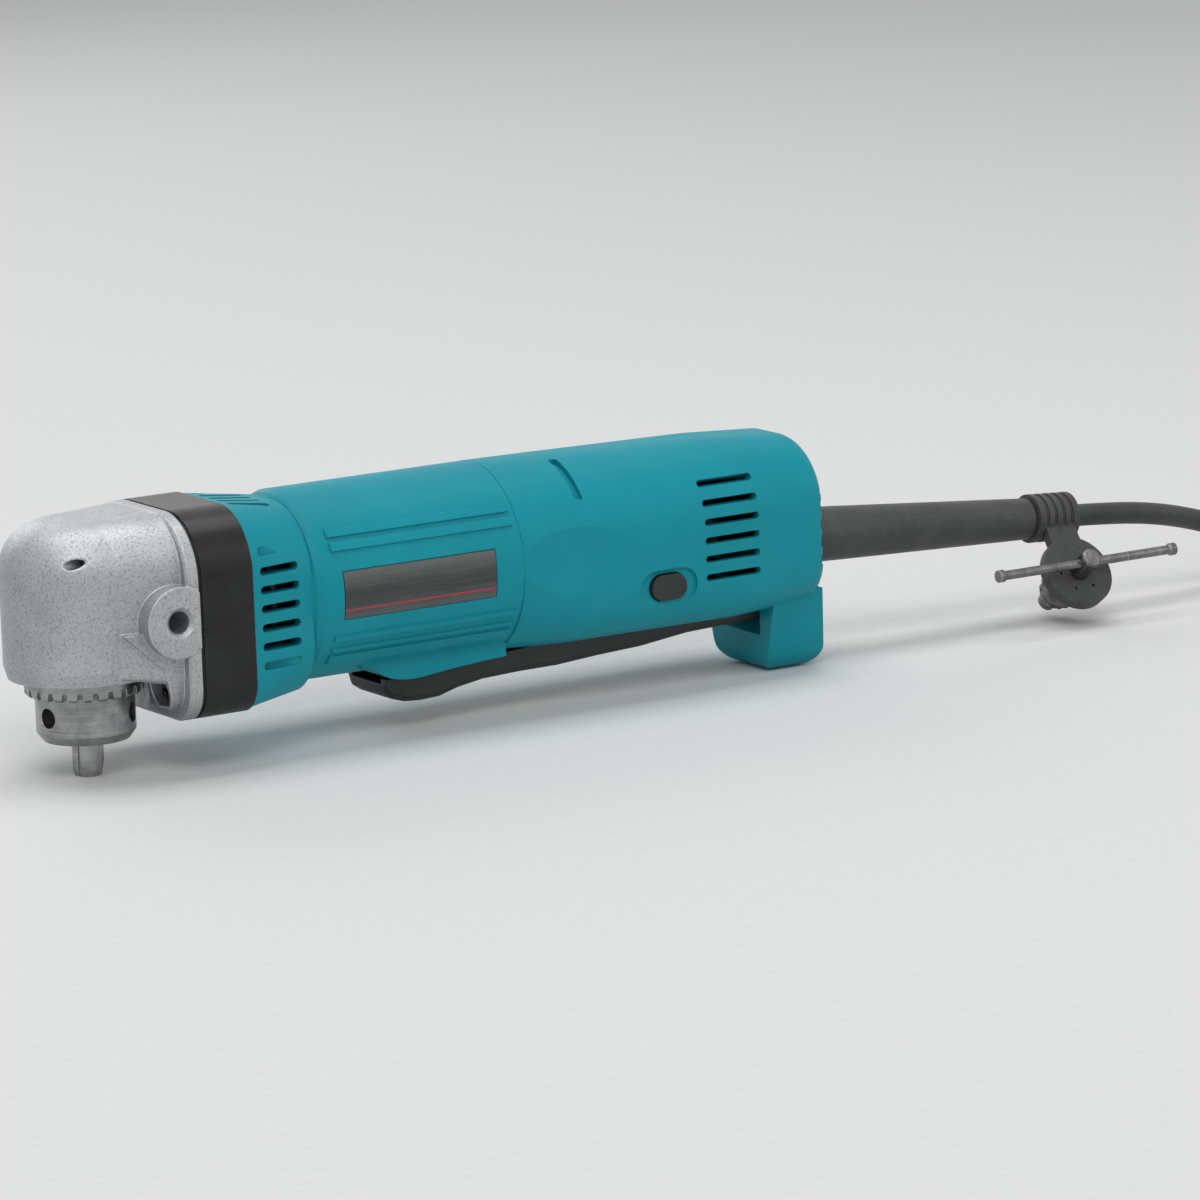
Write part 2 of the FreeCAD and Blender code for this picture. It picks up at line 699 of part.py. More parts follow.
gear_tip_radius = reduction_module * (reduction_gear_teeth / 2 + tooth_addendum)
pinion_tip_radius = reduction_module * (reduction_pinion_teeth / 2 + tooth_addendum)
chamber = bulkhead_x - flange_end_x
cuts = [
    cyl(gear_tip_radius + 1.0, chamber, V(flange_end_x, 0, shaft_z), ALONG),
    cyl(pinion_tip_radius + 1.0, chamber, V(flange_end_x, 0, motor_axis_z), ALONG),
    cyl(shaft_bearing_radius, shaft_bearing_x + shaft_bearing_width - flange_end_x + 0.1,
        V(flange_end_x, 0, shaft_z), ALONG),
    cyl(shaft_bush_radius, shaft_bush_x + shaft_bush_width - bulkhead_x, V(bulkhead_x, 0, shaft_z), ALONG),
    cyl(armature_shaft_radius + 0.8, 20, V(bulkhead_x - 1, 0, motor_axis_z), ALONG),
    cyl(motor_bearing_radius, motor_bearing_width + 1, V(motor_bearing_x, 0, motor_axis_z), ALONG),
]
cuts += [cyl(screw_shank_radius + 0.2, 30, V(flange_end_x - 1, y, z), ALONG) for y, z in screw_places]
keep("gear_housing_cover", cut_all(cover, cuts))

screws = []
for y, z in screw_places:
    head_base = V(flange_x - screw_head_height, y, z)
    screw_head = turned([(0, 0), (screw_head_radius * 0.62, 0), (screw_head_radius, screw_head_height * 0.55),
                         (screw_head_radius, screw_head_height), (0, screw_head_height)], head_base, ALONG)
    for turn in (0, 90):
        slot = block(head_base.x - 1, head_base.x + 1.3, y - 0.5, y + 0.5, z - 2.2, z + 2.2)
        slot.rotate(head_base, ALONG, turn)
        screw_head = screw_head.cut(slot)
    screws.append(screw_head.fuse(cyl(screw_shank_radius, screw_end_x - flange_x, V(flange_x, y, z), ALONG)))
keep("housing_screws", Part.makeCompound(screws))

# Motor housing: square at the front, where the fan turns, and round over the motor
front_section = (flange_half_width - 0.4, flange_bottom_z + 0.3, flange_top_z - 0.3,
                 flange_bottom_corner + 0.5, flange_top_corner)
waist_section = (barrel_radius - 2.2, barrel_low_z - 0.9, barrel_top_z - 2.1, 18.0, 22.0)
fan_zone = skin([section(cover_end_x, *front_section), section(vent_zone_end_x, *waist_section)])
barrel = turned([(0, vent_zone_end_x - 0.6), (barrel_radius - 2.6, vent_zone_end_x - 0.6),
                 (barrel_radius - 0.8, shoulder_x - 0.9), (barrel_radius, shoulder_x + 1.2),
                 (barrel_radius, housing_joint_x), (0, housing_joint_x)], V(0, 0, motor_axis_z), ALONG)
belly_curve = [(86.0, 22.6), (90.0, 22.3), (93.2, 19.8), (97.3, 18.0), (104.7, 17.2),
               (113.8, 18.0), (124.3, 18.9), (housing_joint_x, 19.6)]
belly = curve_prism(belly_curve, [(housing_joint_x, motor_axis_z - 10), (86.0, motor_axis_z - 10)],
                    -belly_half_width, belly_half_width)


# Switch lever: its outline is shared by the channel that it swings in
lever_under = [(lever_nose_x, 14.6), (97.7, 11.9), (100.2, 10.2), (104.5, 8.9), (110.0, 8.5),
               (116.4, 8.8), (123.0, 10.6), (132.0, 12.0), (145.0, 12.5), (159.2, 12.6),
               (173.9, 13.6), (189.4, 14.3), (207.3, 16.3), (224.5, 16.9), (lever_tail_x, 17.1)]
lever_side_top = [(lever_tail_x, lever_pivot_z + 3.2), (lever_pivot_x - 4, lever_pivot_z + 3.4),
                  (150.0, 20.4), (lever_shoulder_x, 17.8), (lever_nose_x, 16.9)]
swing_rise = math.radians(lever_swing)


def rise(x):
    """How far the lever rises at station x when it is pressed."""
    return (lever_pivot_x - x) * swing_rise


channel_half = lever_half_width + sliding_gap
channel_roof = [(x, z + rise(x) + sliding_gap) for x, z in lever_side_top[2:]]
channel_tail = lever_tail_x + 0.8
channel = side_prism(
    [(lever_nose_x - 0.5, 0), (lever_nose_x - 0.5, channel_roof[-1][1])] + channel_roof[::-1]
    + [(lever_pivot_x - 5, lever_pivot_z + 4.6), (channel_tail, lever_pivot_z + 4.6),
       (channel_tail, 15.8), (230.0, 10.0), (225.0, 0)], -channel_half, channel_half)
# under the motor the barrel stays whole between the two sides of the lever
lever_inner_half = lever_half_width - lever_wall
barrel_floor = cyl(barrel_radius, housing_joint_x, V(0, 0, motor_axis_z), ALONG)
floor_half = lever_inner_half - sliding_gap
barrel_floor = barrel_floor.common(
    block(lever_nose_x + lever_wall + 1.4, lever_shoulder_x, -floor_half, floor_half, 0, 60))
channel = channel.cut(barrel_floor)

strips = []
for low, high in ((35.5, 41.0), (26.7, 32.0), (-28.4, -25.0), (-36.0, -33.8), (-47.3, -39.5)):
    band = tube(barrel_radius + strip_height, barrel_radius - 1.0, strip_end_x - strip_start_x,
                V(strip_start_x, 0, motor_axis_z), ALONG)
    a, b = math.radians(low), math.radians(high)
    wedge = Part.Face(Part.makePolygon([
        V(strip_start_x, 0, motor_axis_z), V(strip_start_x, -60 * math.cos(a), motor_axis_z + 60 * math.sin(a)),
        V(strip_start_x, -60 * math.cos(b), motor_axis_z + 60 * math.sin(b)),
        V(strip_start_x, 0, motor_axis_z)])).extrude(V(strip_end_x - strip_start_x, 0, 0))
    strip = band.common(wedge)
    strips += [strip, mirrored(strip)]


def arc_band(outer, inner, x0, x1, half_angle):
    """Curved plate on the near side of the barrel, centred on the motor axis."""
    band = tube(outer, inner, x1 - x0, V(x0, 0, motor_axis_z), ALONG)
    reach = 60 * math.tan(math.radians(half_angle))
    wedge = Part.Face(Part.makePolygon([
        V(x0, 0, motor_axis_z), V(x0, -60, motor_axis_z - reach), V(x0, -60, motor_axis_z + reach),
        V(x0, 0, motor_axis_z)])).extrude(V(x1 - x0, 0, 0))
    return band.common(wedge)


shell = fuse_all([fan_zone, barrel, belly] + strips)
cuts = [
    cyl(fan_chamber_radius, vent_zone_end_x + 2 - cover_end_x, V(cover_end_x, 0, motor_axis_z), ALONG),
    cyl(housing_bore_radius, housing_joint_x - vent_zone_end_x, V(vent_zone_end_x + 1, 0, motor_axis_z), ALONG),
    channel,
    arc_band(barrel_radius + 5, barrel_radius - label_recess, label_start_x, label_end_x, label_half_angle),
]
cuts += [cyl(screw_shank_radius, screw_end_x - cover_end_x, V(cover_end_x, y, z), ALONG)
         for y, z in screw_places]
middle_z = motor_axis_z - 0.2
for i in range(vent_count):
    z = middle_z + (i - (vent_count - 1) / 2) * vent_pitch
    edge = i in (0, vent_count - 1)
    for side in (-1, 1):
        depth = vent_depth if not edge else blind_vent_depth
        outside = flange_half_width + 1
        slot = stadium(vent_length, vent_width, V(vent_x + vent_length / 2, 0, z), depth)
        slot.translate(V(0, side * outside - (depth if side > 0 else 0), 0))
        cuts.append(slot)
for i in range(top_vent_count):
    y = (i - (top_vent_count - 1) / 2) * vent_pitch
    slot = stadium(vent_length, vent_width, V(0, 0, 0), vent_depth)
    slot.rotate(V(0, 0, 0), ALONG, 90)
    slot.translate(V(vent_x + vent_length / 2, y, motor_axis_z + fan_chamber_radius - 3.2))
    cuts.append(slot)
keep("motor_housing", cut_all(shell, cuts))
keep("label_plate", arc_band(barrel_radius - label_recess + label_thickness, barrel_radius - label_recess,
                             label_start_x + 0.3, label_end_x - 0.3, label_half_angle - 0.5))

# Motor
motor_centre = V(0, 0, motor_axis_z)


def on_motor(radius, inner, x0, x1):
    return tube(radius, inner, x1 - x0, V(x0, 0, motor_axis_z), ALONG)


nose_end = bulkhead_x - 0.4
rear_journal_end = rear_bearing_x + rear_bearing_width + 0.6
shaft = turned([
    (0, nose_end), (armature_nose_radius, nose_end), (armature_nose_radius, bulkhead_x + 1.2),
    (armature_shaft_radius, bulkhead_x + 1.2), (armature_shaft_radius, rear_bearing_x - 1.5),
    (rear_journal_radius, rear_bearing_x - 1.5), (rear_journal_radius, rear_journal_end),
    (0, rear_journal_end)], motor_centre, ALONG)
pinion = spur_blank(reduction_pinion_teeth, reduction_gear_x - 0.8, nose_end - reduction_gear_x + 0.8,
                    motor_axis_z, math.pi / reduction_pinion_teeth)
keep("armature_shaft", shaft.fuse(pinion))
core = on_motor(core_radius, armature_shaft_radius, core_x, core_x + core_length)
slot = block(core_x - 1, core_x + core_length + 1, -1.0, 1.0,
             motor_axis_z + core_radius - 3.6, motor_axis_z + core_radius + 1)
keep("armature_core", cut_all(core, around(slot, core_slots, motor_centre, ALONG)))
winding_front = on_motor(winding_radius, armature_shaft_radius, core_x - winding_overhang, core_x)
winding_rear = on_motor(winding_radius, armature_shaft_radius, core_x + core_length, commutator_x)
keep("armature_windings", Part.makeCompound([winding_front, winding_rear]))
bars = on_motor(commutator_radius, armature_shaft_radius, commutator_x, commutator_x + commutator_length)
slot = block(commutator_x + 1.5, commutator_x + commutator_length + 1, -0.25, 0.25,
             motor_axis_z + commutator_radius - 0.8, motor_axis_z + commutator_radius + 1)
keep("commutator", cut_all(bars, around(slot, commutator_bars, motor_centre, ALONG)))
blade = block(fan_x + 1.5, fan_x + fan_width, fan_hub_radius + 0.6, fan_radius - 0.4,
              motor_axis_z - 0.7, motor_axis_z + 0.7)
fan = fuse_all([
    on_motor(fan_radius, armature_shaft_radius, fan_x, fan_x + 1.6),
    on_motor(fan_hub_radius + 1, armature_shaft_radius, fan_x, fan_x + fan_width)]
    + around(blade, fan_blades, motor_centre, ALONG))
keep("fan", fan)
keep("motor_bearing_front", ball_bearing(motor_bearing_radius, armature_shaft_radius + running_gap,
                                         motor_bearing_width, V(motor_bearing_x, 0, motor_axis_z), ALONG))
keep("motor_bearing_rear", ball_bearing(rear_bearing_radius, rear_journal_radius + running_gap,
                                        rear_bearing_width, V(rear_bearing_x, 0, motor_axis_z), ALONG))
keep("baffle_plate", on_motor(fan_chamber_radius, baffle_opening, baffle_x, baffle_x + baffle_thickness))
field_inner = core_radius + air_gap
field = on_motor(housing_bore_radius, field_inner, field_x, field_x + field_length)
coils = []
for side in (-1, 1):
    near, far = sorted((side * (field_inner + 1.2), side * (housing_bore_radius - 4.2)))
    window = block(field_x - 1, field_x + field_length + 1, near, far, motor_axis_z - 9, motor_axis_z + 9)
    field = field.cut(window)
    coils.append(block(field_x - 3.5, field_x + field_length + 4, near, far, motor_axis_z - 9, motor_axis_z + 9))
keep("field_core", field)
keep("field_coils", Part.makeCompound(coils))
holders = []
brushes = []
springs = []
for side in (-1, 1):
    def across(y0, y1, half_x, half_z):
        low, high = sorted((side * y0, side * y1))
        return block(brush_x - half_x, brush_x + half_x, low, high, motor_axis_z - half_z, motor_axis_z + half_z)
    brush_half_x = brush_width / 2
    brush_half_z = brush_thickness / 2
    brush_end = commutator_radius + 8.0
    holder = across(commutator_radius + 1.2, brush_holder_end, brush_half_x + brush_holder_wall,
                    brush_half_z + brush_holder_wall)
    holders.append(holder.cut(across(commutator_radius, brush_holder_end - 1.2, brush_half_x, brush_half_z)))
    brush = across(commutator_radius - 1, brush_end, brush_half_x, brush_half_z)
    brushes.append(brush.cut(cyl(commutator_radius + running_gap, 40, V(brush_x - 20, 0, motor_axis_z), ALONG)))
    springs.append(cyl(brush_half_x - 0.8, brush_holder_end - 1.2 - brush_end,
                       V(brush_x, side * brush_end, motor_axis_z), ACROSS * side))
keep("brush_holders", Part.makeCompound(holders))
keep("brushes", Part.makeCompound(brushes))
keep("brush_springs", Part.makeCompound(springs))

# Handle: two moulded halves parted on the middle plane
handle_stations = [
    (housing_joint_x, barrel_radius, barrel_low_z, barrel_top_z, barrel_radius - 1.1, barrel_radius - 0.3),
    (handle_waist_x, barrel_radius - 1.0, barrel_low_z + 0.5, barrel_top_z - 0.5, 20.0, barrel_radius - 2.6),
    (handle_rear_x, barrel_radius - 2.1, barrel_low_z + 1.3, barrel_top_z - 1.8, 14.0, 24.0),
    (handle_end_x, barrel_radius - 3.2, barrel_low_z + 2.9, barrel_top_z - 4.1, 14.0, 21.0)]


def handle_side(x):
    """Half width of the handle at station x."""
    for front, back in zip(handle_stations, handle_stations[1:]):
        if front[0] <= x <= back[0]:
            part = (x - front[0]) / (back[0] - front[0])
            return front[1] + (back[1] - front[1]) * part


def cavity_ring(x, half_width, low, high, low_corner, high_corner):
    """Outline of the hollow, with flats in place of the outer corners' arcs."""
    half = []
    for corner, edge, side in ((low_corner, low, 1), (high_corner, high, -1)):
        arc = []
        for step in range(4):
            turn = math.radians(30.0 * step)
            arc.append((half_width - corner * (1 - math.sin(turn)), edge + side * corner * (1 - math.cos(turn))))
        half += arc if side > 0 else arc[::-1]
    corners = [V(x, y, z) for y, z in half] + [V(x, -y, z) for y, z in half[::-1]]
    return Part.makePolygon(corners + [corners[0]])


body = skin([section(*station) for station in handle_stations])
rear_ring = [e for e in body.Edges if e.BoundBox.XMin > handle_end_x - 0.01]
body = body.makeFillet(rear_edge_radius, rear_ring)
foot = side_prism([(233.4, foot_top_z), (233.8, 0), (256.0, 0), (251.4, foot_top_z)], -40, 40)
foot = foot.makeFillet(6.5, [e for e in foot.Edges if e.BoundBox.ZMax < 0.01 and e.BoundBox.YLength > 10])
foot_front = Part.Face(Part.makePolygon([
    V(220, -foot_half_width - 2, foot_top_z), V(220, -foot_half_width + 5.4, 0),
    V(220, foot_half_width - 5.4, 0), V(220, foot_half_width + 2, foot_top_z),
    V(220, -foot_half_width - 2, foot_top_z)])).extrude(V(50, 0, 0))
foot_front = foot_front.makeFillet(9.0, [e for e in foot_front.Edges
                                         if e.BoundBox.ZMax < 0.01 and e.BoundBox.XLength > 10])
foot = foot.common(foot_front)
cavity_end_x = handle_end_x - handle_wall
cavity_rings = [
    cavity_ring(x, w - handle_wall, low + handle_wall, high - handle_wall, b - handle_wall, t - handle_wall)
    for x, w, low, high, b, t in handle_stations]
cavity = skin(cavity_rings).common(block(housing_joint_x, cavity_end_x, -60, 60, 0, 100))
bearing_wall_x = rear_bearing_x - 0.6
inside = [block(bearing_wall_x, rear_bearing_x + rear_bearing_width + 1.2, -40, 40, 15, 90)]
guard_axis = V(math.cos(math.radians(guard_droop)), 0, -math.sin(math.radians(guard_droop)))
guard_base = V(guard_x, 0, guard_z)
cord_radius = cord_diameter / 2


def on_cord(x):
    """Point of the captive cord's axis at station x."""
    return guard_base + guard_axis * ((x - guard_x) / guard_axis.x)


clamp_z = on_cord(cord_clamp_x + cord_clamp_width / 2).z
inside.append(block(cord_clamp_x, cord_clamp_x + cord_clamp_width, -40, 40, clamp_z - 6.5, clamp_z))
for x, z in handle_screw_places:
    inside.append(cyl(handle_boss_radius, 80, V(x, -40, z), ACROSS))
switch_end_x = switch_x + switch_length
for x in (switch_x - 2.2, switch_end_x + 0.2):
    inside.append(block(x, x + 2.0, -40, 40, 22, switch_bottom_z + 9))
ribs = Part.makeCompound(inside)
hollow = cavity.cut(ribs)
handle = body.cut(hollow).fuse(foot)
cord_bore = cyl(cord_radius, 60, on_cord(guard_x - 40), guard_axis)
pocket = stadium(button_pocket_length, button_pocket_height, V(button_x, 0, button_z), 10)
button_hole = stadium(button_length + 2 * sliding_gap, button_height + 2 * sliding_gap,
                      V(button_x, -50, button_z), 100)
pocket_floor = handle_side(button_x) - button_pocket_depth
cuts = [
    channel,
    cyl(rear_bearing_radius, 20, V(rear_bearing_x, 0, motor_axis_z), ALONG).cut(
        cyl(rear_bearing_radius - 2.5, 20, V(rear_bearing_x + rear_bearing_width, 0, motor_axis_z), ALONG)).common(
        block(rear_bearing_x, rear_bearing_x + rear_bearing_width, -40, 40, 0, 100)),
    cyl(rear_journal_radius + 1.5, 20, V(bearing_wall_x - 5, 0, motor_axis_z), ALONG),
    cyl(guard_root_radius + 0.5, 20, V(handle_end_x - handle_wall - 3, 0, guard_z), ALONG),
    cord_bore,
    cyl(lever_pin_radius, lever_pin_length, V(lever_pivot_x, -lever_pin_length / 2, lever_pivot_z), ACROSS),
    button_hole,
    pocket.translated(V(0, pocket_floor, 0)), pocket.translated(V(0, -pocket_floor - 10, 0)),
    block(plunger_x - 8, switch_end_x, -channel_half, channel_half, lever_pivot_z, switch_bottom_z),
]
rear_slot_z = [rear_slot_top_z - rear_slot_pitch * i for i in range(rear_slot_count)]
for z in rear_slot_z:
    slot = stadium(rear_slot_length, rear_slot_width, V(rear_slot_x + rear_slot_length / 2, 0, z), 12)
    cuts += [slot.translated(V(0, 19.5, 0)), slot.translated(V(0, -31.5, 0))]
for i in range(scallop_count):
    z = scallop_top_z - scallop_pitch * i
    for side in (-1, 1):
        notch = cyl(scallop_radius, 16, V(handle_end_x + 0.6, side * 22.5, z), V(-0.35, side, 0))
        cuts.append(notch)
arc_floor = handle_side(arc_groove_x) - arc_groove_depth
band = tube(40, arc_floor, arc_groove_width, V(arc_groove_x, 0, motor_axis_z), ALONG)
low, high = math.radians(arc_groove_low), math.radians(arc_groove_high)
wedge = Part.Face(Part.makePolygon([
    V(arc_groove_x, 0, motor_axis_z),
    V(arc_groove_x, -60 * math.cos(low), motor_axis_z + 60 * math.sin(low)),
    V(arc_groove_x, -60 * math.cos(high), motor_axis_z + 60 * math.sin(high)),
    V(arc_groove_x, 0, motor_axis_z)])).extrude(V(arc_groove_width, 0, 0))
groove = band.common(wedge)
cuts += [groove, mirrored(groove)]
rest_centre_y = handle_side(thumb_rest_x) - thumb_rest_depth + thumb_rest_radius
cuts += [Part.makeSphere(thumb_rest_radius, V(thumb_rest_x, side * rest_centre_y, thumb_rest_z)) for side in (-1, 1)]
handle = cut_all(handle, cuts)
near_half = block(100, 300, -60, 0, -5, 100)
far_half = block(100, 300, 0, 60, -5, 100)
floor_y = handle_screw_depth
screw_cuts_near = []
screw_cuts_far = []
handle_screws = []
for x, z in handle_screw_places:
    screw_cuts_far.append(cyl(handle_screw_head + 0.3, 40, V(x, floor_y, z), ACROSS))
    screw_cuts_far.append(cyl(handle_screw_radius + 0.15, 40, V(x, 0, z), ACROSS))
    screw_cuts_near.append(cyl(handle_screw_radius, 14, V(x, -14, z), ACROSS))
    screw = cyl(handle_screw_head, 2.4, V(x, floor_y, z), ACROSS).fuse(
        cyl(handle_screw_radius, floor_y + 13, V(x, -13, z), ACROSS))
    recess = block(x - 2.2, x + 2.2, floor_y + 1.4, floor_y + 3, z - 0.5, z + 0.5)
    handle_screws.append(screw.cut(recess))
keep("handle_near", cut_all(handle.common(near_half), screw_cuts_near))
keep("handle_far", cut_all(handle.common(far_half), screw_cuts_far))
keep("handle_screws", Part.makeCompound(handle_screws))

# Switch lever, its pin, the switch and the reversing button


def lever_ring(x, low, high):
    """Outline across the lever, with its two lower edges rounded off."""
    half = []
    for turn in (0, 30, 60, 90):
        a = math.radians(turn)
        inward = lever_edge_radius * (1 - math.sin(a))
        half.append((lever_half_width - inward, low + lever_edge_radius * (1 - math.cos(a))))
    half.append((lever_half_width, high))
    corners = [V(x, y, z) for y, z in half] + [V(x, -y, z) for y, z in half[::-1]]
    return Part.makePolygon(corners + [corners[0]])


lever = skin([lever_ring(x, z, lever_pivot_z + 10) for x, z in lever_under])
side_outline = [(lever_nose_x, 0), (lever_tail_x, 0)] + lever_side_top
lever = lever.common(side_prism(side_outline, -lever_half_width, lever_half_width))
inner_curve = [(x + (lever_wall if x < 98 else 0), z + lever_wall) for x, z in lever_under]
inner_top = [(lever_tail_x, 60), (lever_nose_x + lever_wall, 60)]
lever = lever.cut(curve_prism(inner_curve[1:], inner_top, -lever_inner_half, lever_inner_half))
nose_top = motor_axis_z - housing_bore_radius - rise(lever_nose_x) - sliding_gap
lever = lever.cut(block(lever_nose_x - 1, lever_nose_x + lever_wall + 1,
                        -lever_inner_half, lever_inner_half, nose_top, 30))
pad_top = 21.2
pad = block(plunger_x - 4, plunger_x + 4, -lever_inner_half - 0.5, lever_inner_half + 0.5, 15.2, pad_top)
eye = cyl(lever_pin_radius + 2.4, 2 * lever_half_width, V(lever_pivot_x, -lever_half_width, lever_pivot_z), ACROSS)
lever = fuse_all([lever, pad, eye])
keep("switch_lever", lever.cut(cyl(lever_pin_radius + running_gap, 60, V(lever_pivot_x, -30, lever_pivot_z), ACROSS)))
keep("lever_pin", cyl(lever_pin_radius, lever_pin_length,
                      V(lever_pivot_x, -lever_pin_length / 2, lever_pivot_z), ACROSS))
plunger_travel = rise(plunger_x)
plunger_bottom = pad_top + 0.3
plunger_top = switch_bottom_z + 6.0
switch = block(switch_x, switch_end_x, -switch_half_width, switch_half_width,
               switch_bottom_z, switch_bottom_z + switch_height)
switch = switch.cut(button_hole)
switch = switch.cut(block(plunger_x - plunger_width / 2 - 0.2, plunger_x + plunger_width / 2 + 0.2,
                          -plunger_depth / 2 - 0.2, plunger_depth / 2 + 0.2,
                          switch_bottom_z - 1, plunger_top + plunger_travel + 0.5))
keep("switch_body", switch)
keep("switch_plunger", block(plunger_x - plunger_width / 2, plunger_x + plunger_width / 2,
                             -plunger_depth / 2, plunger_depth / 2, plunger_bottom, plunger_top))
button_near = pocket_floor + button_proud
button_far = button_near - button_travel
keep("reversing_button", stadium(button_length, button_height, V(button_x, -button_near, button_z),
                                 button_near + button_far))

# Cord guard, clamp and the captive cord
guard_end = guard_base + guard_axis * (guard_length + guard_tail_length)
guard = turned([
    (cord_radius, 0), (guard_root_radius, 0), (guard_root_radius, 10), (guard_end_radius, guard_length),
    (guard_tail_radius, guard_length), (guard_tail_radius, guard_length + guard_tail_length),
    (cord_radius, guard_length + guard_tail_length)], guard_base, guard_axis)
flange_back = handle_end_x - handle_wall
flange = cyl(guard_flange_radius, flange_back - guard_x + 0.6, V(guard_x - 0.6, 0, guard_z), ALONG)
flange = flange.cut(cyl(cord_radius, 40, on_cord(guard_x - 20), guard_axis))
keep("cord_guard", guard.fuse(flange))
inner_start = guard_base - guard_axis * cord_start_back
keep("cord_inner", cyl(cord_radius, cord_start_back + guard_length + guard_tail_length, inner_start, guard_axis))
strap = block(cord_clamp_x, cord_clamp_x + cord_clamp_width, -11.5, 11.5, clamp_z, clamp_z + 6.0).cut(cord_bore)
clamp_screws = []
for side in (-1, 1):
    place = V(cord_clamp_x + cord_clamp_width / 2, side * 8.0, clamp_z + 6.0)
    strap = strap.cut(cyl(1.6, 20, place - UP * 15, UP))
    clamp_screws.append(cyl(3.0, 1.8, place, UP).fuse(cyl(1.6, 6.0, place - UP * 6.0, UP)))
keep("cord_clamp", strap)
keep("cord_clamp_screws", Part.makeCompound(clamp_screws))

# Key holder: a rubber collar on the guard's end with a flap that grips the chuck key
collar_centre = guard_end - guard_axis * (guard_tail_length / 2)
slope = math.radians(holder_slope)
down_slope = V(0, -math.cos(slope), -math.sin(slope))
key_axis = V(0, math.sin(slope), -math.cos(slope))
disc_centre = collar_centre + down_slope * holder_reach - key_axis * holder_rise
collar_start = collar_centre - guard_axis * (holder_collar_width / 2)
collar = cyl(holder_collar_radius, holder_collar_width, collar_start, guard_axis)
for i in range(4):
    ring_start = collar_start + guard_axis * (2.0 + i * 3.2)
    collar = collar.cut(tube(holder_collar_radius + 1, holder_collar_radius - 0.8, 1.6, ring_start, guard_axis))
strap_centre = disc_centre - down_slope * (holder_reach - 2)
strap_corner = strap_centre - ALONG * (holder_strap_width / 2) - key_axis * (holder_disc_thickness / 2)
strap_face = Part.Face(Part.makePolygon([
    strap_corner, strap_corner + ALONG * holder_strap_width,
    strap_corner + ALONG * holder_strap_width + down_slope * (holder_reach - 4),
    strap_corner + down_slope * (holder_reach - 4), strap_corner]))
strap = strap_face.extrude(key_axis * holder_disc_thickness)
disc = cyl(holder_disc_radius, holder_disc_thickness,
           disc_centre - key_axis * (holder_disc_thickness / 2), key_axis)
for i in range(6):
    slit = cyl(0.6, holder_disc_thickness + 2, disc_centre + down_slope * (key_shank_radius + 3.4)
               - key_axis * (holder_disc_thickness / 2 + 1), key_axis)
    slit.rotate(disc_centre, key_axis, 60 * i + 30)
    disc = disc.cut(slit)
holder = fuse_all([collar, strap, disc])
holder = holder.cut(cyl(guard_tail_radius, 60, collar_centre - guard_axis * 30, guard_axis))
holder = holder.cut(cyl(key_shank_radius + running_gap, 60, disc_centre - key_axis * 30, key_axis))
keep("key_holder", holder)

# Chuck key: bevelled teeth that fit the sleeve, a pilot for the key holes and a sliding bar
key = turned([
    (0, -key_above), (key_shank_radius - 0.6, -key_above), (key_shank_radius, -key_above + 0.6),
    (key_shank_radius, key_below - 12.0), (key_head_radius, key_below - 9.5), (key_head_radius, key_below - 8.0),
    (key_head_radius - 1.8, key_below - 5.0), (key_pilot_radius, key_below - 5.0),
    (key_pilot_radius, key_below - 0.8), (key_pilot_radius - 0.8, key_below), (0, key_below)],
    disc_centre, key_axis)
space = block(-1.1, 1.1, key_head_radius - 2.2, key_head_radius + 1, 0, 12)
space_tool = space.cut(turned([(0, -1), (key_head_radius - 0.6, -1), (key_pilot_radius + 0.5, 13), (0, 13)],
                              V(0, 0, 0), UP))
turn_to_key = FreeCAD.Rotation(UP, key_axis)
key_teeth_base = disc_centre + key_axis * (key_below - 9.5)
spaces = []
for tool in around(space_tool, key_teeth):
    tool.Placement = FreeCAD.Placement(key_teeth_base, turn_to_key).multiply(tool.Placement)
    spaces.append(tool)
key = cut_all(key, spaces)
bar_centre = disc_centre - key_axis * key_bar_height
key = key.cut(cyl(key_bar_radius, 30, bar_centre - ALONG * 15, ALONG))
keep("chuck_key", key)
bar_start = bar_centre - ALONG * (key_bar_length / 2)
bar = turned([(0, 0), (key_bar_radius + 0.5, 0), (key_bar_radius + 0.5, 2.0), (key_bar_radius, 2.6),
              (key_bar_radius, key_bar_length - 2.6), (key_bar_radius + 0.5, key_bar_length - 2.0),
              (key_bar_radius + 0.5, key_bar_length), (0, key_bar_length)], bar_start, ALONG)
keep("chuck_key_bar", bar)


# Free cord: straight runs joined by arcs as large as the runs allow
def corded_path(points):
    edges = []
    radii = []
    start = points[0]
    for before, corner, after in zip(points, points[1:], points[2:]):
        a = corner - before
        b = after - corner
        run = min(a.Length, b.Length)
        setback = 0.45 * run
        first = corner - a * (setback / a.Length)
        last = corner + b * (setback / b.Length)
        half_turn = a.getAngle(b) / 2
        radius = setback / math.tan(half_turn)
        radii.append(radius)
        inward = (first + last) * 0.5 - corner
        middle = corner + inward * ((radius / math.cos(half_turn) - radius) / inward.Length)
        edges += [Part.LineSegment(start, first).toShape(), Part.Arc(first, middle, last).toShape()]
        start = last
    edges.append(Part.LineSegment(start, points[-1]).toShape())
    return Part.Wire(edges), radii


def swept_cord(name, path):
    """Round tube along a path, checked against its length."""
    start = path.Edges[0].valueAt(path.Edges[0].FirstParameter)
    tangent = path.Edges[0].tangentAt(path.Edges[0].FirstParameter)
    ring = Part.Wire(Part.makeCircle(cord_radius, start, tangent))
    solid = path.makePipeShell([ring], True, False)
    expected = math.pi * cord_radius ** 2 * path.Length
    print("%s length %.1f mm, volume against section times length %.4f" % (name, path.Length, solid.Volume / expected))
    keep(name, solid)


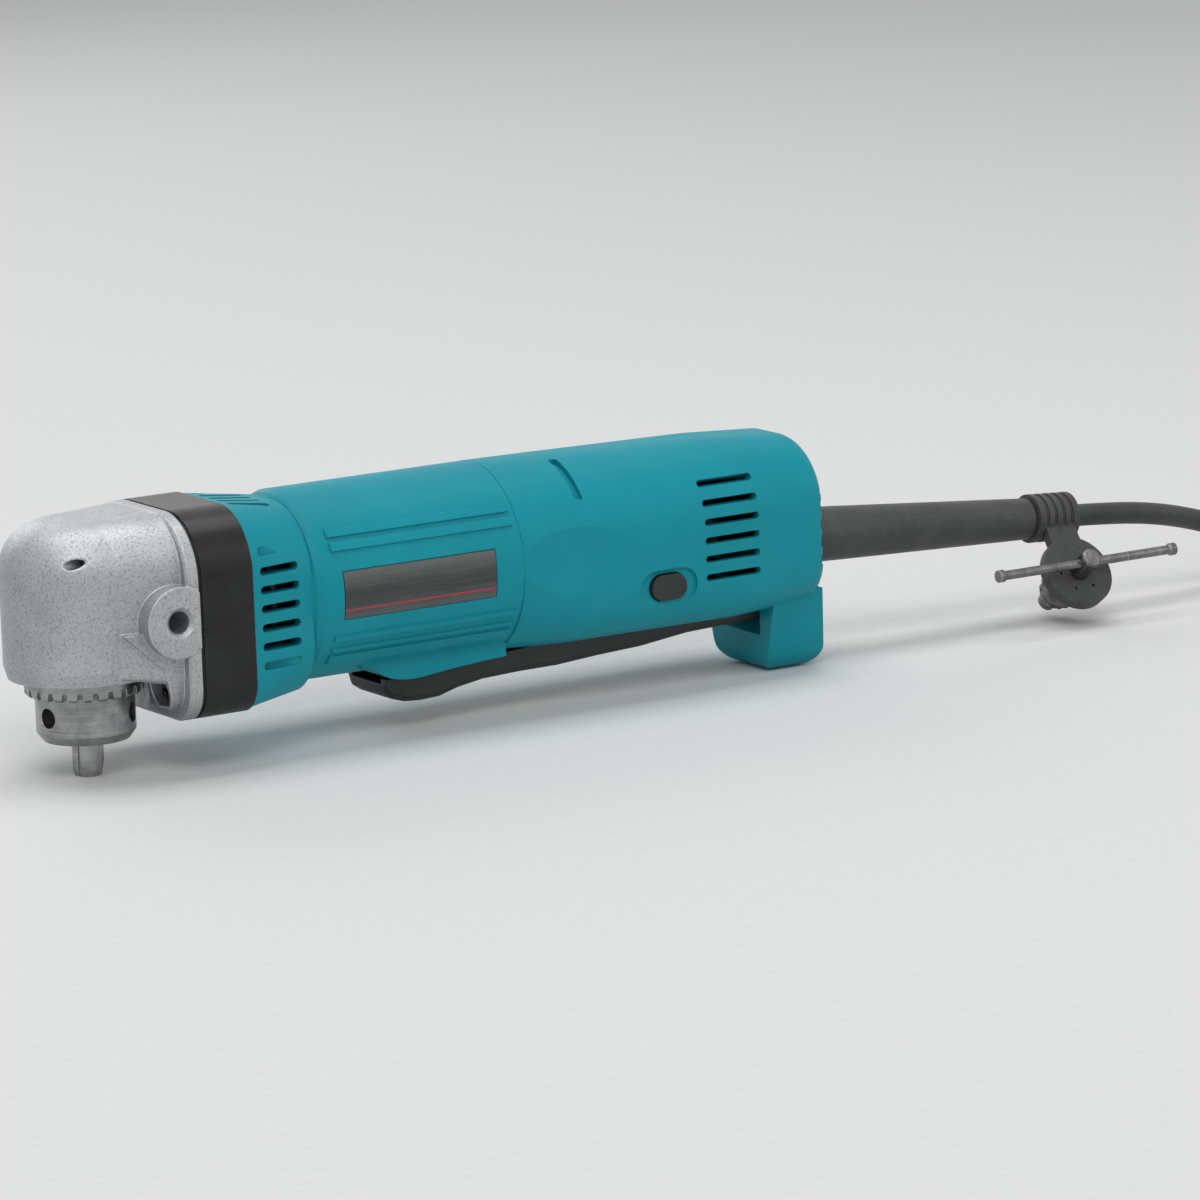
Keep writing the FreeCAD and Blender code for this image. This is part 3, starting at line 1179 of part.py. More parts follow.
lie = cord_radius           # axis height of a cord that lies on the floor
coil_start = V(coil_start_x, coil_start_y, lie)
coil_mouth = coil_start - ALONG * cord_diameter
lead_points = [guard_end, guard_end + guard_axis * 18.0, V(399.0, 0.6, 28.4), V(417.0, 2.0, 23.6),
               V(436.0, 6.0, 16.8), V(455.0, 13.0, 9.8), V(475.0, 21.5, lie + 1.2), V(496.0, coil_start_y, lie),
               coil_mouth]
lead, lead_radii = corded_path(lead_points)
print("cord radii", [round(r) for r in lead_radii])
swept_cord("cord", lead)

# Coil: layers that spiral in and out again, climbing while the spiral turns back
coil_centre = coil_start - ACROSS * coil_outer
layer_rise = cord_diameter + 0.5
turns = coil_turns_per_layer * coil_layers


def coil_point(turn):
    """Point of the coil's axis after a number of turns."""
    layer = turn / coil_turns_per_layer
    inward = abs(layer - 2 * math.floor(layer / 2 + 0.5))
    radius = coil_outer - coil_pitch * coil_turns_per_layer * inward
    height = lie
    for level in range(1, coil_layers):
        part = (turn - level * coil_turns_per_layer) * 2 + 0.5
        part = min(1.0, max(0.0, part))
        height += layer_rise * part * part * (3 - 2 * part)
    angle = math.pi / 2 - 2 * math.pi * turn
    return coil_centre + V(radius * math.cos(angle), radius * math.sin(angle), height - lie)


def coil_tangent(turn):
    if turn <= 0 or turn >= turns:
        return ALONG * 1.0
    step = 0.05
    return (coil_point(min(turns, turn + step)) - coil_point(max(0, turn - step))).normalize()


def arc_from(start, tangent, end):
    """Arc that leaves start along the tangent and passes through end."""
    chord = end - start
    unit = chord * (1 / chord.Length)
    across = tangent - unit * tangent.dot(unit)
    angle = tangent.getAngle(unit)
    if across.Length < 1e-9:
        return Part.makeLine(start, end)
    middle = (start + end) * 0.5 + across.normalize() * (chord.Length / 2 * math.tan(angle / 2))
    return Part.Arc(start, middle, end).toShape()


def biarc(p0, t0, p1, t1):
    """Two tangent arcs between two points with given directions."""
    v = p1 - p0
    t = t0 + t1
    a = 2 * (1 - t0.dot(t1))
    b = 2 * v.dot(t)
    c = -v.dot(v)
    reach = -c / b if abs(a) < 1e-9 else (-b + math.sqrt(b * b - 4 * a * c)) / (2 * a)
    joint = (p0 + t0 * reach + p1 - t1 * reach) * 0.5
    joint_tangent = ((p1 - t1 * reach) - (p0 + t0 * reach)).normalize()
    return [arc_from(p0, t0, joint), arc_from(joint, joint_tangent, p1)]


steps = int(round(turns * 4))
edges = [Part.makeLine(coil_mouth, coil_start)]
stations = [turns * i / steps for i in range(steps + 1)]
for a, b in zip(stations, stations[1:]):
    edges += biarc(coil_point(a), coil_tangent(a), coil_point(b), coil_tangent(b))
coil_end = coil_point(turns)
edges.append(Part.makeLine(coil_end, coil_end + ALONG * cord_diameter))
coil_path = Part.Wire(edges)
samples = [coil_point(turns * i / 720) for i in range(721)]
least = min((p - q).Length for i, p in enumerate(samples) for q in samples[i + 60::3])
print("coil self gap %.2f mm" % (least - cord_diameter))

ring_corners = [coil_mouth + V(0, math.cos(a), math.sin(a)) * cord_radius
                for a in [2 * math.pi * (i + 0.5) / cord_sides for i in range(cord_sides)]]
coil_ring = Part.makePolygon(ring_corners + [ring_corners[0]])
coil_face = Part.Face(coil_ring)
coil = coil_path.makePipeShell([coil_ring], True, False)
print("coil length %.1f mm, volume against section times length %.4f"
      % (coil_path.Length, coil.Volume / (coil_face.Area * coil_path.Length)))
keep("cord_coil", coil)

# The end of the cord turns back over the top layer and carries the plug there
tail_start = coil_end + ALONG * cord_diameter
plug_z = coil_end.z + cord_radius + 0.2 + plug_body_height / 2
bend_centre = V(tail_start.x + 9.0, coil_end.y - tail_bend_radius, 0)
plug_start = V(bend_centre.x - 10.0, coil_end.y - 2 * tail_bend_radius, plug_z)
tail_points = [tail_start]
for turn, climb in ((75, 0.0), (45, 0.0), (15, 0.1), (-15, 0.38), (-45, 0.72), (-75, 0.97)):
    a = math.radians(turn)
    reach = tail_bend_radius / math.cos(math.radians(15))
    height = coil_end.z + (plug_z - coil_end.z) * climb
    tail_points.append(bend_centre + V(reach * math.cos(a), reach * math.sin(a), height))
tail_points.append(plug_start)
tail, tail_radii = corded_path(tail_points)
print("tail radii", [round(r) for r in tail_radii])
swept_cord("cord_tail", tail)
captive = cord_start_back + guard_length + guard_tail_length
print("cord from the clamp to the plug %.0f mm" % (captive + lead.Length + coil_path.Length + tail.Length))

# Plug with a tapered strain relief and two flat blades
relief_length = 14.0
plug_x = plug_start.x
relief = Part.makeCone(cord_radius + 0.9, cord_radius + 2.6, relief_length, plug_start, -ALONG)
plug_sections = []
for x, shrink in ((0.0, 3.0), (plug_body_length * 0.35, 0.0), (plug_body_length, 0.6)):
    outline = section(plug_x - relief_length - x, plug_body_width / 2 - shrink, shrink,
                      plug_body_height - shrink, 4.0 - shrink / 2, 4.0 - shrink / 2)
    plug_sections.append(outline.translated(V(0, plug_start.y, plug_z - plug_body_height / 2)))
plug = skin(plug_sections).fuse(relief)
keep("plug", plug)
blade_root = plug_x - relief_length - plug_body_length
blades = []
for side in (-1, 1):
    y = plug_start.y + side * blade_spacing / 2
    blades.append(block(blade_root - blade_length, blade_root, y - blade_thickness / 2, y + blade_thickness / 2,
                        plug_z - blade_width / 2, plug_z + blade_width / 2))
keep("plug_blades", Part.makeCompound(blades))

os.makedirs("parts", exist_ok=True)
for name, solid in pieces.items():
    solid.exportStep("parts/%s.step" % name)
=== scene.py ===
import json
import math

import bmesh
import bpy
from mathutils import Matrix, Vector


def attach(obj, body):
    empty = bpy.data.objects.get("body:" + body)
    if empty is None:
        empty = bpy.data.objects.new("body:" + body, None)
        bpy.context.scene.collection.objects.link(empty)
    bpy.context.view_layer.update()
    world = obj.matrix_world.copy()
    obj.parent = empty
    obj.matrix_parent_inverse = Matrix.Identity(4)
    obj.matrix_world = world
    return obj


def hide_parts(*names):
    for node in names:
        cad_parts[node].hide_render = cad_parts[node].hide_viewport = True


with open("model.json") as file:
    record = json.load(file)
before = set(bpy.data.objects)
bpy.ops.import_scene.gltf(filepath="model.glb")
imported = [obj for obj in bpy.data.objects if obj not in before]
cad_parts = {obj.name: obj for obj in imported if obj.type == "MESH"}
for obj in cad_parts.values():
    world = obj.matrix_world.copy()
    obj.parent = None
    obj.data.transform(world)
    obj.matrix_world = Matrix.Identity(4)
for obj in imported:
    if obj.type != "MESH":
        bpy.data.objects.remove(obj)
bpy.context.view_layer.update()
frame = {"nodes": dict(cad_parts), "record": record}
nodes = frame["nodes"]
scene = bpy.context.scene


# Camera: the photograph's viewpoint, from the front left and a little above, with a long lens
CAMERA_AZIMUTH = 31.7425
CAMERA_ELEVATION = 11.1651
CAMERA_ROLL = 2.0320
CAMERA_DISTANCE = 2.17018
CAMERA_TARGET = (0.181939, 0.0, 0.028677)
SENSOR_WIDTH = 36.0         # millimetres
FOCAL_IN_WIDTHS = 5.7964    # focal length over the picture's width


def place_camera():
    azimuth, elevation, roll = (math.radians(a) for a in (CAMERA_AZIMUTH, CAMERA_ELEVATION, CAMERA_ROLL))
    target = Vector(CAMERA_TARGET)
    flat = math.cos(elevation)
    back = Vector((-math.sin(azimuth) * flat, -math.cos(azimuth) * flat, math.sin(elevation)))
    right = Vector((math.cos(azimuth), -math.sin(azimuth), 0.0))
    up = back.cross(right)
    image_right = right * math.cos(roll) - up * math.sin(roll)
    image_up = right * math.sin(roll) + up * math.cos(roll)
    data = bpy.data.cameras.new("camera")
    data.sensor_fit = "HORIZONTAL"
    data.sensor_width = SENSOR_WIDTH
    data.lens = SENSOR_WIDTH * FOCAL_IN_WIDTHS
    data.clip_start = 0.05
    data.clip_end = 60.0
    camera = bpy.data.objects.new("camera", data)
    scene.collection.objects.link(camera)
    turn = Matrix((image_right, image_up, back)).transposed().to_4x4()
    camera.matrix_world = Matrix.Translation(target + back * CAMERA_DISTANCE) @ turn
    scene.camera = camera


place_camera()

# The free cord: from the end of its guard down to the surface, into a coil and on to the plug
CORD_DIAMETER = 0.0072
EXIT = (0.362437, 0.0, 0.032364)
LEAD = [EXIT, (0.380396, 0, 0.031156), (0.399, 0.0006, 0.0284), (0.417, 0.002, 0.0236),
        (0.436, 0.006, 0.0168), (0.455, 0.013, 0.0098), (0.475, 0.0215, 0.0048), (0.496, 0.03, 0.0036),
        (0.5178, 0.03, 0.0036)]
COIL_CENTRE = (0.525, -0.016)
COIL_RADIUS = 0.046
TURN_PITCH = 0.0079         # from one turn to the next within a layer
LAYER_RISE = 0.0077
LOWEST_TURN = 0.0036        # centre of the cord where it lies on the floor
TAIL_TOP = 0.0267
TAIL_BEND = 0.037
PLUG_HEIGHT = 0.039
COIL_LAYERS = 4
TURNS_PER_LAYER = 1.5
POINTS_PER_TURN = 20


def coil_point(turn):
    """The coil's turns spiral inwards in one layer and outwards in the next."""
    layer = turn / TURNS_PER_LAYER
    inward = abs(layer - 2 * math.floor(layer / 2 + 0.5))
    radius = COIL_RADIUS - TURN_PITCH * TURNS_PER_LAYER * inward
    height = LOWEST_TURN
    for level in range(1, COIL_LAYERS):
        part = min(1.0, max(0.0, (turn - level * TURNS_PER_LAYER) * 2 + 0.5))
        height += LAYER_RISE * part * part * (3 - 2 * part)
    angle = math.pi / 2 - 2 * math.pi * turn
    return (COIL_CENTRE[0] + radius * math.cos(angle), COIL_CENTRE[1] + radius * math.sin(angle), height)


def tail_points():
    """The end of the cord turns back over the top layer, where the plug lies."""
    start = COIL_CENTRE[0] + CORD_DIAMETER
    centre = (start + 0.009, COIL_CENTRE[1] + COIL_RADIUS - TAIL_BEND)
    reach = TAIL_BEND / math.cos(math.radians(15))
    points = [(start, centre[1] + TAIL_BEND, TAIL_TOP)]
    for turn, climb in ((75, 0.0), (45, 0.0), (15, 0.1), (-15, 0.38), (-45, 0.72), (-75, 0.97)):
        a = math.radians(turn)
        points.append((centre[0] + reach * math.cos(a), centre[1] + reach * math.sin(a),
                       TAIL_TOP + (PLUG_HEIGHT - TAIL_TOP) * climb))
    points.append((centre[0] - 0.010, centre[1] - TAIL_BEND, PLUG_HEIGHT))
    return points


def make_cord():
    steps = int(COIL_LAYERS * TURNS_PER_LAYER * POINTS_PER_TURN)
    points = LEAD + [coil_point(i / POINTS_PER_TURN) for i in range(steps + 1)] + tail_points()
    data = bpy.data.curves.new("mains_lead", "CURVE")
    data.dimensions = "3D"
    spline = data.splines.new("NURBS")
    spline.points.add(len(points) - 1)
    for slot, point in zip(spline.points, points):
        slot.co = (*point, 1.0)
    spline.order_u = 3
    spline.use_endpoint_u = True
    spline.resolution_u = 5
    data.bevel_depth = CORD_DIAMETER / 2
    data.bevel_resolution = 5
    data.use_fill_caps = True
    lead = bpy.data.objects.new("mains_lead", data)
    scene.collection.objects.link(lead)
    return lead


lead = make_cord()


# Materials: each one is a small node tree whose colour, roughness and bump come from its own grain
class Look:
    """A Principled material and short calls for the nodes that feed it."""

    def __init__(self, name, metallic=0.0, ior=1.45, coat=0.0, coat_roughness=0.3, sheen=0.0, shine=0.5):
        self.material = bpy.data.materials.new(name)
        self.material.use_nodes = True
        self.tree = self.material.node_tree
        self.shader = self.tree.nodes["Principled BSDF"]
        self.shader.inputs["Metallic"].default_value = metallic
        self.shader.inputs["IOR"].default_value = ior
        self.shader.inputs["Coat Weight"].default_value = coat
        self.shader.inputs["Coat Roughness"].default_value = coat_roughness
        self.shader.inputs["Sheen Weight"].default_value = sheen
        self.shader.inputs["Specular IOR Level"].default_value = shine
        self.place = self.make("ShaderNodeTexCoord").outputs["Object"]
        self.normal = None

    def make(self, kind, **settings):
        node = self.tree.nodes.new(kind)
        for key, value in settings.items():
            setattr(node, key, value)
        return node

    def join(self, source, target):
        if isinstance(source, (int, float)):
            target.default_value = source
        elif isinstance(source, tuple):
            target.default_value = source if len(source) == len(target.default_value) else (*source, 1.0)
        else:
            self.tree.links.new(source, target)

    def stretch(self, scale):
        """The object's own coordinates, stretched."""
        node = self.make("ShaderNodeMapping")
        self.join(self.place, node.inputs["Vector"])
        node.inputs["Scale"].default_value = scale
        return node.outputs["Vector"]

    def noise(self, scale, detail=3.0, roughness=0.55, distortion=0.0, vector=None):
        node = self.make("ShaderNodeTexNoise")
        self.join(self.place if vector is None else vector, node.inputs["Vector"])
        node.inputs["Scale"].default_value = scale
        node.inputs["Detail"].default_value = detail
        node.inputs["Roughness"].default_value = roughness
        node.inputs["Distortion"].default_value = distortion
        return node.outputs["Fac"]

    def cells(self, scale):
        node = self.make("ShaderNodeTexVoronoi")
        self.join(self.place, node.inputs["Vector"])
        node.inputs["Scale"].default_value = scale
        return node.outputs["Distance"]

    def span(self, value, low, high, to_low=0.0, to_high=1.0):
        """value, spread from one range to another and held at its ends."""
        node = self.make("ShaderNodeMapRange", clamp=True)
        self.join(value, node.inputs["Value"])
        for key, number in (("From Min", low), ("From Max", high), ("To Min", to_low), ("To Max", to_high)):
            node.inputs[key].default_value = number
        return node.outputs["Result"]

    def math(self, operation, a, b=0.0, c=0.0):
        node = self.make("ShaderNodeMath", operation=operation)
        for value, target in zip((a, b, c), node.inputs):
            self.join(value, target)
        return node.outputs[0]

    def mix(self, factor, a, b):
        node = self.make("ShaderNodeMix", data_type="RGBA")
        self.join(factor, node.inputs["Factor"])
        self.join(a, node.inputs[6])
        self.join(b, node.inputs[7])
        return node.outputs[2]

    def height_above_floor(self):
        node = self.make("ShaderNodeSeparateXYZ")
        self.join(self.place, node.inputs["Vector"])
        return node.outputs["Z"]

    def bevel(self, radius):
        """Rounds sharp edges in the shading; returns a mask of where the edges are."""
        node = self.make("ShaderNodeBevel", samples=6)
        node.inputs["Radius"].default_value = radius
        self.normal = node.outputs["Normal"]
        geometry = self.make("ShaderNodeNewGeometry")
        dot = self.make("ShaderNodeVectorMath", operation="DOT_PRODUCT")
        self.join(self.normal, dot.inputs[0])
        self.join(geometry.outputs["Normal"], dot.inputs[1])
        return self.span(dot.outputs["Value"], 0.985, 0.80)

    def bump(self, height, distance, strength=1.0):
        node = self.make("ShaderNodeBump")
        node.inputs["Strength"].default_value = strength
        node.inputs["Distance"].default_value = distance
        self.join(height, node.inputs["Height"])
        if self.normal is not None:
            self.join(self.normal, node.inputs["Normal"])
        self.normal = node.outputs["Normal"]

    def finish(self, colour, roughness):
        self.join(colour, self.shader.inputs["Base Color"])
        self.join(roughness, self.shader.inputs["Roughness"])
        if self.normal is not None:
            self.join(self.normal, self.shader.inputs["Normal"])
        return self.material


def shade(red, green, blue):
    """A colour from sRGB numbers of 0 to 255."""
    linear = []
    for value in (red, green, blue):
        value /= 255.0
        linear.append(value / 12.92 if value <= 0.04045 else ((value + 0.055) / 1.055) ** 2.4)
    return tuple(linear)


def moulded(name, base, dark, pale, grain=0.00003, gloss=0.42, shine=0.5):
    """Moulded plastic: spark-eroded grain, faint flow clouding, rubbed edges and hairline scratches."""
    look = Look(name, ior=1.46, shine=shine)
    edge = look.bevel(0.0005)
    clouds = look.noise(14.0, 4.0, 0.6, 0.4)
    fine = look.noise(2600.0, 2.0, 0.6)
    patches = look.noise(60.0, 5.0, 0.65)
    scuffs = look.noise(240.0, 3.0, 0.7, vector=look.stretch((0.12, 1.0, 2.2)))
    mark = look.math("MULTIPLY", look.span(scuffs, 0.66, 0.72), look.span(patches, 0.5, 0.62))
    colour = look.mix(look.span(clouds, 0.3, 0.7), base, dark)
    colour = look.mix(look.math("MULTIPLY", look.span(patches, 0.35, 0.75), 0.12), colour, pale)
    colour = look.mix(look.math("MULTIPLY", edge, 0.2), colour, pale)
    colour = look.mix(look.math("MULTIPLY", mark, 0.175), colour, pale)
    mottle = look.math("ADD", look.math("MULTIPLY", patches, 0.5), look.math("MULTIPLY", fine, 0.5))
    roughness = look.span(mottle, 0.3, 0.7, gloss, gloss + 0.16)
    roughness = look.math("SUBTRACT", roughness, look.math("MULTIPLY", edge, 0.06))
    look.bump(fine, grain, 0.9)
    look.bump(look.noise(420.0, 2.0, 0.5), grain * 1.5, 0.5)
    return look.finish(colour, roughness)


def cast_metal():
    """Bead-blasted die casting: a fine pebbled skin, faint oxide clouds, bright rubbed edges."""
    look = Look("cast_aluminium_look", metallic=0.9, ior=1.5)
    edge = look.bevel(0.0007)
    pebble = look.noise(1500.0, 3.0, 0.62)
    pits = look.cells(1100.0)
    clouds = look.noise(35.0, 5.0, 0.65, 0.5)
    colour = look.mix(look.span(clouds, 0.3, 0.7), shade(188, 191, 194), shade(168, 171, 174))
    colour = look.mix(look.math("MULTIPLY", look.span(pebble, 0.5, 0.66), 0.55), colour, shade(116, 119, 122))
    colour = look.mix(look.math("MULTIPLY", edge, 0.5), colour, shade(232, 233, 234))
    roughness = look.span(look.math("ADD", pebble, look.math("MULTIPLY", clouds, 0.4)), 0.4, 1.0, 0.44, 0.62)
    look.bump(pebble, 0.00012, 0.8)
    look.bump(look.span(pits, 0.05, 0.5), 0.00005, 0.5)
    return look.finish(colour, look.math("SUBTRACT", roughness, look.math("MULTIPLY", edge, 0.14)))


def rubber(name, base, dark, pale):
    """Matt rubber with a bloom of dust in its pores."""
    look = Look(name, ior=1.5, sheen=0.12)
    edge = look.bevel(0.0006)
    bloom = look.noise(90.0, 5.0, 0.7, 0.3)
    pores = look.noise(1900.0, 2.0, 0.6)
    colour = look.mix(look.span(bloom, 0.35, 0.7), base, dark)
    colour = look.mix(look.math("MULTIPLY", look.span(pores, 0.55, 0.7), 0.35), colour, pale)
    colour = look.mix(look.math("MULTIPLY", edge, 0.35), colour, pale)
    look.bump(pores, 0.00004, 0.8)
    look.bump(bloom, 0.0003, 0.2)
    return look.finish(colour, look.span(bloom, 0.3, 0.7, 0.52, 0.7))


def machined(name, base, dark, pale, along="z", rough=0.26):
    """Turned or ground metal: fine tool lines, a thin film of oil clouding and bright edges."""
    look = Look(name, metallic=1.0, ior=2.5)
    edge = look.bevel(0.0004)
    fine, coarse = 2400.0, 9.0
    stretch = tuple(fine if axis == along else coarse for axis in "xyz")
    tool = look.noise(1.0, 3.0, 0.6, vector=look.stretch(stretch))
    film = look.noise(160.0, 5.0, 0.65, 0.6)
    spots = look.noise(700.0, 3.0, 0.6)
    colour = look.mix(look.span(film, 0.35, 0.7), base, dark)
    colour = look.mix(look.math("MULTIPLY", look.span(tool, 0.5, 0.75), 0.4), colour, pale)
    colour = look.mix(look.math("MULTIPLY", look.span(spots, 0.66, 0.74), 0.5), colour, dark)
    colour = look.mix(look.math("MULTIPLY", edge, 0.7), colour, pale)
    mottle = look.math("ADD", film, look.math("MULTIPLY", tool, 0.6))
    roughness = look.span(mottle, 0.5, 1.1, rough, rough + 0.2)
    look.bump(tool, 0.00002, 0.7)
    return look.finish(colour, roughness)


LABEL_AXIS_Z = 0.0487
LABEL_RADIUS = 0.0292
LABEL_HALF_ANGLE = 13.6


def printed_label():
    """A bare name plate: dark brushed film with a thin red line near its foot."""
    look = Look("label_film_look", metallic=0.35, ior=1.5, coat=0.4, coat_roughness=0.25)
    rise = look.math("DIVIDE", look.math("SUBTRACT", look.height_above_floor(), LABEL_AXIS_Z), LABEL_RADIUS)
    turn = look.math("ARCSINE", look.math("MINIMUM", look.math("MAXIMUM", rise, -1.0), 1.0))
    height = look.span(turn, math.radians(-LABEL_HALF_ANGLE), math.radians(LABEL_HALF_ANGLE))
    brush = look.noise(1.0, 2.0, 0.6, vector=look.stretch((60.0, 900.0, 2600.0)))
    cloud = look.noise(120.0, 4.0, 0.6)
    centre = look.math("ABSOLUTE", look.math("SUBTRACT", height, 0.45))
    colour = look.mix(look.span(centre, 0.08, 0.52), shade(44, 48, 49), shade(88, 90, 90))
    colour = look.mix(look.math("MULTIPLY", look.span(brush, 0.4, 0.7), 0.2), colour, shade(116, 118, 118))
    colour = look.mix(look.math("MULTIPLY", look.span(cloud, 0.4, 0.8), 0.15), colour, shade(40, 40, 42))
    line = look.math("COMPARE", height, 0.175, 0.016)
    colour = look.mix(line, colour, shade(190, 40, 48))
    look.bump(brush, 0.000008, 0.5)
    return look.finish(colour, look.span(cloud, 0.3, 0.7, 0.34, 0.48))


def laminated():
    """Stacked sheet steel: thin dark lines between the sheets."""
    look = Look("laminations_look", metallic=0.9, ior=2.0)
    look.bevel(0.0003)
    sheets = look.make("ShaderNodeTexWave", wave_type="BANDS", bands_direction="X")
    look.join(look.place, sheets.inputs["Vector"])
    sheets.inputs["Scale"].default_value = 320.0
    sheets.inputs["Distortion"].default_value = 0.3
    rust = look.noise(90.0, 5.0, 0.7)
    colour = look.mix(look.span(sheets.outputs["Fac"], 0.2, 0.8), shade(70, 70, 74), shade(128, 128, 132))
    colour = look.mix(look.math("MULTIPLY", look.span(rust, 0.5, 0.75), 0.4), colour, shade(98, 78, 62))
    look.bump(sheets.outputs["Fac"], 0.00006, 0.8)
    return look.finish(colour, look.span(rust, 0.3, 0.7, 0.4, 0.6))


def wound(name, base, dark, pale):
    """Varnished copper winding."""
    look = Look(name, metallic=0.7, ior=1.6, coat=0.5, coat_roughness=0.2)
    strands = look.noise(1.0, 3.0, 0.6, vector=look.stretch((70.0, 1500.0, 1500.0)))
    varnish = look.noise(150.0, 4.0, 0.6)
    colour = look.mix(look.span(strands, 0.35, 0.7), dark, base)
    colour = look.mix(look.math("MULTIPLY", look.span(varnish, 0.5, 0.8), 0.4), colour, pale)
    look.bump(strands, 0.0002, 0.9)
    return look.finish(colour, look.span(varnish, 0.3, 0.7, 0.3, 0.5))


LOOKS = {
    "cast_aluminium": cast_metal(),
    "teal_plastic": moulded("teal_plastic_look", shade(0, 150, 166), shade(0, 140, 155), shade(60, 178, 190),
                            shine=0.25),
    "black_plastic": moulded("black_plastic_look", shade(30, 34, 34), shade(24, 27, 28), shade(104, 108, 108),
                             gloss=0.38),
    "black_rubber": rubber("black_rubber_look", shade(58, 60, 60), shade(48, 50, 50), shade(104, 104, 104)),
    "cord_rubber": rubber("cord_rubber_look", shade(48, 50, 51), shade(40, 42, 43), shade(88, 88, 88)),
    "chuck_steel": machined("chuck_steel_look", shade(158, 160, 160), shade(124, 126, 126),
                            shade(212, 212, 212), "z", 0.27),
    "jaw_steel": machined("jaw_steel_look", shade(172, 173, 175), shade(132, 133, 135),
                          shade(222, 222, 222), "z", 0.24),
    "shaft_steel": machined("shaft_steel_look", shade(170, 171, 173), shade(140, 141, 143),
                            shade(222, 222, 222), "x", 0.22),
    "key_steel": machined("key_steel_look", shade(124, 121, 122), shade(88, 86, 87),
                          shade(196, 194, 194), "x", 0.3),
    "black_screws": machined("black_screws_look", shade(52, 53, 55), shade(38, 39, 40),
                             shade(128, 129, 130), "x", 0.36),
    "bronze": machined("bronze_look", shade(176, 128, 72), shade(138, 96, 52),
                       shade(218, 176, 120), "x", 0.3),
    "laminations": laminated(),
    "copper_wire": wound("copper_wire_look", shade(184, 92, 48), shade(104, 46, 26), shade(226, 150, 96)),
    "brass_parts": machined("brass_parts_look", shade(204, 168, 92), shade(164, 128, 62),
                            shade(236, 212, 150), "y", 0.28),
    "carbon": rubber("carbon_look", shade(44, 44, 46), shade(32, 32, 34), shade(88, 88, 90)),
    "label_film": printed_label(),
    "fan_plastic": moulded("fan_plastic_look", shade(48, 50, 52), shade(36, 38, 40), shade(120, 122, 122),
                           gloss=0.44),
}
slot_of = {entry["node"]: entry["material_slot"] for entry in frame["record"]["subparts"]}


def dress(piece, slot):
    """Gives a piece the finish of one of the record's material slots."""
    piece.data.materials.clear()
    piece.data.materials.append(LOOKS[slot])


for name, node in nodes.items():
    dress(node, slot_of[name])

# the ring between the gear head and the motor housing is polished
ring_look = moulded("polished_black_look", shade(12, 15, 15), shade(9, 11, 11), shade(92, 95, 95),
                    grain=0.00001, gloss=0.2, shine=0.4)
nodes["gear_housing_cover"].data.materials[0] = ring_look

dress(lead, "cord_rubber")
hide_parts("cord", "cord_coil", "cord_tail")
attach(lead, "housing")


# Studio: a pale floor, soft lamps and a pale backdrop
def make_floor():
    mesh = bpy.data.meshes.new("studio_floor")
    form = bmesh.new()
    steps = 24
    reach = 9.0
    grid = [[form.verts.new((0.2 + reach * (2 * i / steps - 1), reach * (2 * j / steps - 1), 0.0))
             for i in range(steps + 1)] for j in range(steps + 1)]
    for j in range(steps):
        for i in range(steps):
            form.faces.new((grid[j][i], grid[j][i + 1], grid[j + 1][i + 1], grid[j + 1][i]))
    form.to_mesh(mesh)
    form.free()
    floor = bpy.data.objects.new("studio_floor", mesh)
    scene.collection.objects.link(floor)
    look = Look("studio_floor_look")
    grain = look.noise(300.0, 3.0, 0.6)
    colour = look.mix(look.span(grain, 0.3, 0.7), shade(232, 232, 231), shade(228, 228, 227))
    mesh.materials.append(look.finish(colour, look.span(grain, 0.3, 0.7, 0.75, 0.85)))


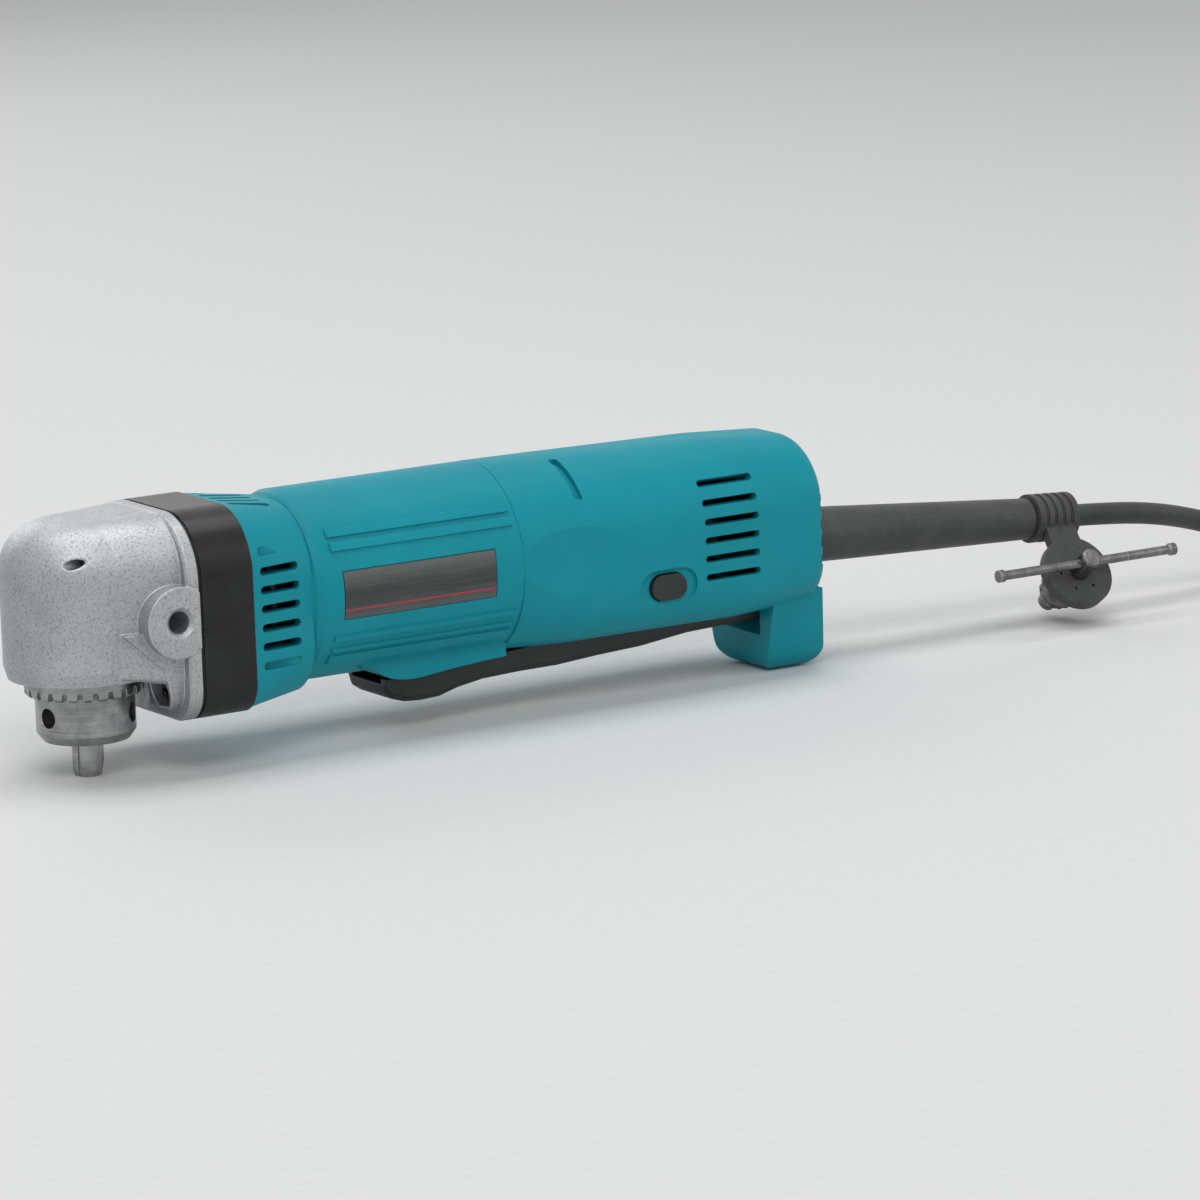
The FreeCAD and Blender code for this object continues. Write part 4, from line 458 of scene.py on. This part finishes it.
def make_lamp(name, place, target, size, power):
    data = bpy.data.lights.new(name, "AREA")
    data.shape = "RECTANGLE"
    data.size, data.size_y = size
    data.energy = power
    lamp = bpy.data.objects.new(name, data)
    scene.collection.objects.link(lamp)
    lamp.location = place
    lamp.rotation_euler = (Vector(target) - Vector(place)).to_track_quat("-Z", "Y").to_euler()


def make_world():
    world = bpy.data.worlds.new("studio")
    world.use_nodes = True
    scene.world = world
    tree = world.node_tree
    tree.nodes.clear()
    path = tree.nodes.new("ShaderNodeLightPath")
    either = tree.nodes.new("ShaderNodeMath")
    either.operation = "MAXIMUM"
    tree.links.new(path.outputs["Is Camera Ray"], either.inputs[0])
    mirrored = tree.nodes.new("ShaderNodeMath")
    mirrored.operation = "MAXIMUM"
    tree.links.new(path.outputs["Is Glossy Ray"], mirrored.inputs[0])
    tree.links.new(path.outputs["Is Transmission Ray"], mirrored.inputs[1])
    tree.links.new(mirrored.outputs[0], either.inputs[1])
    ambient = tree.nodes.new("ShaderNodeBackground")
    ambient.inputs["Color"].default_value = (0.94, 0.97, 1.0, 1.0)
    ambient.inputs["Strength"].default_value = 0.32
    seen = tree.nodes.new("ShaderNodeBackground")
    seen.inputs["Color"].default_value = (0.86, 0.865, 0.87, 1.0)
    seen.inputs["Strength"].default_value = 0.9
    mix = tree.nodes.new("ShaderNodeMixShader")
    tree.links.new(either.outputs[0], mix.inputs[0])
    tree.links.new(ambient.outputs[0], mix.inputs[1])
    tree.links.new(seen.outputs[0], mix.inputs[2])
    output = tree.nodes.new("ShaderNodeOutputWorld")
    tree.links.new(mix.outputs[0], output.inputs["Surface"])


make_floor()
make_lamp("key_lamp", (-0.7, -1.5, 1.7), (0.15, 0, 0.05), (1.2, 0.9), 15.0)
make_lamp("top_lamp", (0.2, 0.15, 1.8), (0.2, 0, 0), (1.6, 1.0), 13.0)
make_lamp("fill_lamp", (1.6, -1.3, 0.9), (0.2, 0, 0.05), (1.2, 1.2), 5.0)
make_lamp("back_lamp", (0.1, 1.7, 0.9), (0.2, 0, 0.05), (1.4, 0.8), 6.0)
make_world()
scene.view_settings.view_transform = "Standard"
